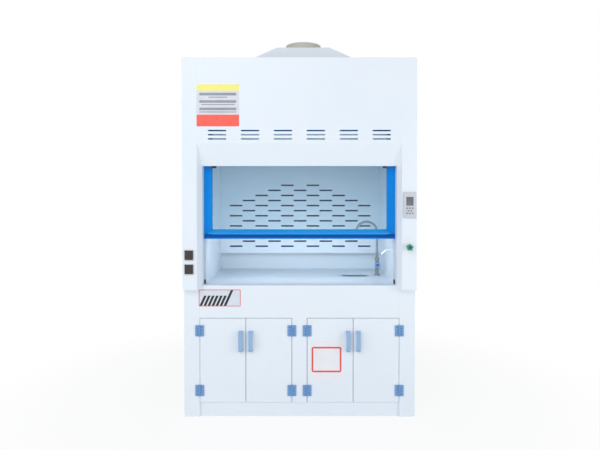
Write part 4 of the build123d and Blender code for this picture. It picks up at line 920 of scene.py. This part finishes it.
class HOOD_OT_add_screws(bpy.types.Operator):
    """Add the countersunk screws of the eight door hinges"""

    bl_idname = "fume_hood.add_screws"
    bl_label = "Add the hinge screws"

    def execute(self, context):
        radius = context.scene.fume_hood_detail.screw_radius
        steel = metal_finish("screw_steel", linear(92, 100, 118), 0.35)
        places = {CARCASS: []}
        for number, (axis_x, side) in enumerate(HINGES, start=1):
            body = f"door_{number}"
            places[body] = []
            for middle in HINGE_MIDDLES:
                for row in (-1, 0, 1):
                    level = middle + row * SCREW_PITCH
                    places[body].append((axis_x + side * SCREW_FROM_AXIS, level + SCREW_SHIFT))
                    places[CARCASS].append((axis_x - side * SCREW_FROM_AXIS, level - SCREW_SHIFT))
        for body, spots in places.items():
            screws = [screw_surface(x, z, BASE_FRONT - HINGE_LEAF, radius) for x, z in spots]
            name = "hinge_screws" if body == CARCASS else f"{body}_hinge_screws"
            clean(make_piece(name, *join(screws), body, steel.material, "bright_steel"))
        return {"FINISHED"}


class HOOD_OT_add_weld_beads(bpy.types.Operator):
    """Add the hot-air weld beads in the chamber, on the roof, in the cupboard and on the front joints"""

    bl_idname = "fume_hood.add_weld_beads"
    bl_label = "Add the weld beads"

    def execute(self, context):
        detail = context.scene.fume_hood_detail
        radius, pitch = detail.bead_radius, detail.bead_pitch
        welded = moulded_finish("weld_plastic", linear(226, 236, 245), linear(212, 226, 240), 0.28)
        chamber = []
        roof = []
        base = []
        back = at(BACK_FACE)
        for side in (-1, 1):
            wall = side * CHAMBER_HALF
            chamber += [
                ((wall, at(CHAMBER_FRONT), WORKTOP_TOP), (wall, back, WORKTOP_TOP)),
                ((wall, back, WORKTOP_TOP), (wall, back, CEILING)),
                ((wall, at(CHAMBER_FRONT), CEILING), (wall, back, CEILING)),
                ((wall, at(BAFFLE_FACE), BAFFLE_LOW), (wall, at(BAFFLE_FACE), BAFFLE_HIGH)),
            ]
            inner, divider = side * BASE_HALF, side * DIVIDER_HALF
            base += [
                ((inner, at(BASE_WELD_FRONT), BASE_FLOOR), (inner, back, BASE_FLOOR)),
                ((inner, back, BASE_FLOOR), (inner, back, BASE_TOP)),
                ((divider, at(BASE_WELD_FRONT), BASE_FLOOR), (divider, back, BASE_FLOOR)),
            ]
        chamber.append(((-CHAMBER_HALF, back, WORKTOP_TOP), (CHAMBER_HALF, back, WORKTOP_TOP)))
        base.append(((-BASE_HALF, back, BASE_FLOOR), (-DIVIDER_HALF, back, BASE_FLOOR)))
        base.append(((DIVIDER_HALF, back, BASE_FLOOR), (BASE_HALF, back, BASE_FLOOR)))
        centre_x, centre_y = HOPPER_CENTRE[0], at(HOPPER_CENTRE[1])
        half_x, half_y = HOPPER_HALF
        corners = [(-1, -1), (1, -1), (1, 1), (-1, 1)]
        for low, high in zip(corners, corners[1:] + corners[:1]):
            ends = [(centre_x + sx * half_x, centre_y + sy * half_y, ROOF) for sx, sy in (low, high)]
            roof.append(tuple(ends))
        groups = {"chamber_weld_beads": chamber, "roof_weld_beads": roof, "cupboard_weld_beads": base}
        for name, runs in groups.items():
            beads = [bead_surface(start, end, radius, pitch) for start, end in runs]
            clean(make_piece(name, *join(beads), CARCASS, welded.material, "white_sheet"))
        seams = []
        for side in (-1, 1):
            stile, joint = side * STILE_X, side * FASCIA_X
            stile_y, joint_y = at(BASE_FRONT + SEAM_DEPTH), at(SEAM_DEPTH)
            seams.append(((stile, stile_y, 0.0), (stile, stile_y, BASE_TOP)))
            seams.append(((joint, joint_y, FASCIA_SEAM_FOOT), (joint, joint_y, ROOF)))
        beads = [bead_surface(start, end, SEAM_RADIUS, pitch) for start, end in seams]
        clean(make_piece("seam_weld_beads", *join(beads), CARCASS, welded.material, "white_sheet"))
        collar = ring_bead(COLLAR_RADIUS, (centre_x, centre_y, COLLAR_FOOT), radius, pitch)
        clean(make_piece("collar_weld_bead", *collar, CARCASS, welded.material, "white_sheet"))
        return {"FINISHED"}


class HOOD_OT_add_stage(bpy.types.Operator):
    """Add the pale floor, the soft lights, the room's light and the camera"""

    bl_idname = "fume_hood.add_stage"
    bl_label = "Add the studio"

    def execute(self, context):
        settings = context.scene.fume_hood_stage
        points = np.array([(-9, -7, 0), (9, -7, 0), (9, 11, 0), (-9, 11, 0)], float)
        mesh = bpy.data.meshes.new("studio_floor")
        mesh.from_pydata(points.tolist(), [], [[0, 1, 2, 3]])
        floor = bpy.data.objects.new("studio_floor", mesh)
        context.scene.collection.objects.link(floor)
        mesh.materials.append(pale_surface("studio_floor", 0.86 if settings.floor_shadow else 1.0))

        world = bpy.data.worlds.new("studio_room")
        context.scene.world = world
        world.use_nodes = True
        nodes, links = world.node_tree.nodes, world.node_tree.links
        room = nodes["Background"]
        room.inputs["Color"].default_value = (0.93, 0.965, 1.0, 1.0)
        room.inputs["Strength"].default_value = settings.world_strength
        seen = nodes.new("ShaderNodeBackground")
        seen.inputs["Color"].default_value = (1, 1, 1, 1)
        mix = nodes.new("ShaderNodeMixShader")
        links.new(seen_directly(nodes, links), mix.inputs["Fac"])
        links.new(room.outputs["Background"], mix.inputs[1])
        links.new(seen.outputs["Background"], mix.inputs[2])
        links.new(mix.outputs["Shader"], nodes["World Output"].inputs["Surface"])

        key, key_target = (-1.6, -4.4, 4.0), (-0.1, -0.3, 1.6)
        soft_light(context, "key_light", key, key_target, (3.4, 2.2), settings.key_power)
        front, front_target = (0.3, -4.6, 1.2), (0.0, 0.2, 1.2)
        fill = soft_light(context, "fill_light", front, front_target, (7.0, 1.6), settings.fill_power)
        fill.visible_glossy = fill.visible_transmission = False
        left_share = 0.7
        for name, side, share in (("left_light", -1, left_share), ("right_light", 1, 1.0)):
            place, target = (side * 3.4, -2.4, 1.5), (-side * 0.4, -0.4, 1.3)
            soft_light(context, name, place, target, (1.4, 2.4), settings.side_power * share)
        inside, inside_target = (0.0, at(0.142), 1.12), (0.0, at(0.66), 0.98)
        bounce = soft_light(
            context, "opening_light", inside, inside_target, (1.1, 0.24), settings.opening_power
        )
        bounce.visible_camera = bounce.visible_transmission = bounce.visible_glossy = False

        camera = bpy.data.objects.new("camera", bpy.data.cameras.new("camera"))
        context.scene.collection.objects.link(camera)
        camera.location = CAMERA_PLACE
        camera.rotation_euler = (math.radians(CAMERA_TILT), 0, 0)
        camera.data.lens = CAMERA_LENS
        camera.data.sensor_width = 36.0
        camera.data.shift_x, camera.data.shift_y = CAMERA_SHIFT
        context.scene.camera = camera
        context.scene.view_settings.view_transform = "Standard"
        return {"FINISHED"}


# Panel and registration


class HOOD_PT_panel(bpy.types.Panel):
    bl_label = "Fume hood"
    bl_idname = "HOOD_PT_panel"
    bl_space_type = "VIEW_3D"
    bl_region_type = "UI"
    bl_category = "Fume hood"

    def draw(self, context):
        for settings in (
            context.scene.fume_hood_finish,
            context.scene.fume_hood_detail,
            context.scene.fume_hood_stage,
        ):
            box = self.layout.box()
            for name in settings.bl_rna.properties.keys():
                if name not in ("rna_type", "name"):
                    box.prop(settings, name)
        for operator in OPERATORS:
            self.layout.operator(operator.bl_idname)


SETTINGS = {
    "fume_hood_finish": FumeHoodFinishSettings,
    "fume_hood_detail": FumeHoodDetailSettings,
    "fume_hood_stage": FumeHoodStageSettings,
}
OPERATORS = (
    HOOD_OT_finish_sheets,
    HOOD_OT_finish_sash,
    HOOD_OT_finish_controls,
    HOOD_OT_finish_plumbing,
    HOOD_OT_finish_fittings,
    HOOD_OT_add_plates,
    HOOD_OT_add_screws,
    HOOD_OT_add_weld_beads,
    HOOD_OT_add_stage,
)


def register():
    for name, group in SETTINGS.items():
        bpy.utils.register_class(group)
        setattr(bpy.types.Scene, name, PointerProperty(type=group))
    for operator in OPERATORS:
        bpy.utils.register_class(operator)
    bpy.utils.register_class(HOOD_PT_panel)


def unregister():
    bpy.utils.unregister_class(HOOD_PT_panel)
    for operator in reversed(OPERATORS):
        bpy.utils.unregister_class(operator)
    for name, group in SETTINGS.items():
        delattr(bpy.types.Scene, name)
        bpy.utils.unregister_class(group)


def main():
    """Dress the whole hood."""
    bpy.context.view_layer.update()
    clear_default_scene()
    register()
    bpy.ops.fume_hood.finish_sheets()
    bpy.ops.fume_hood.finish_sash()
    bpy.ops.fume_hood.finish_controls()
    bpy.ops.fume_hood.finish_plumbing()
    bpy.ops.fume_hood.finish_fittings()
    bpy.ops.fume_hood.add_plates()
    bpy.ops.fume_hood.add_screws()
    bpy.ops.fume_hood.add_weld_beads()
    bpy.ops.fume_hood.add_stage()


if __name__ == "__main__":
    main()
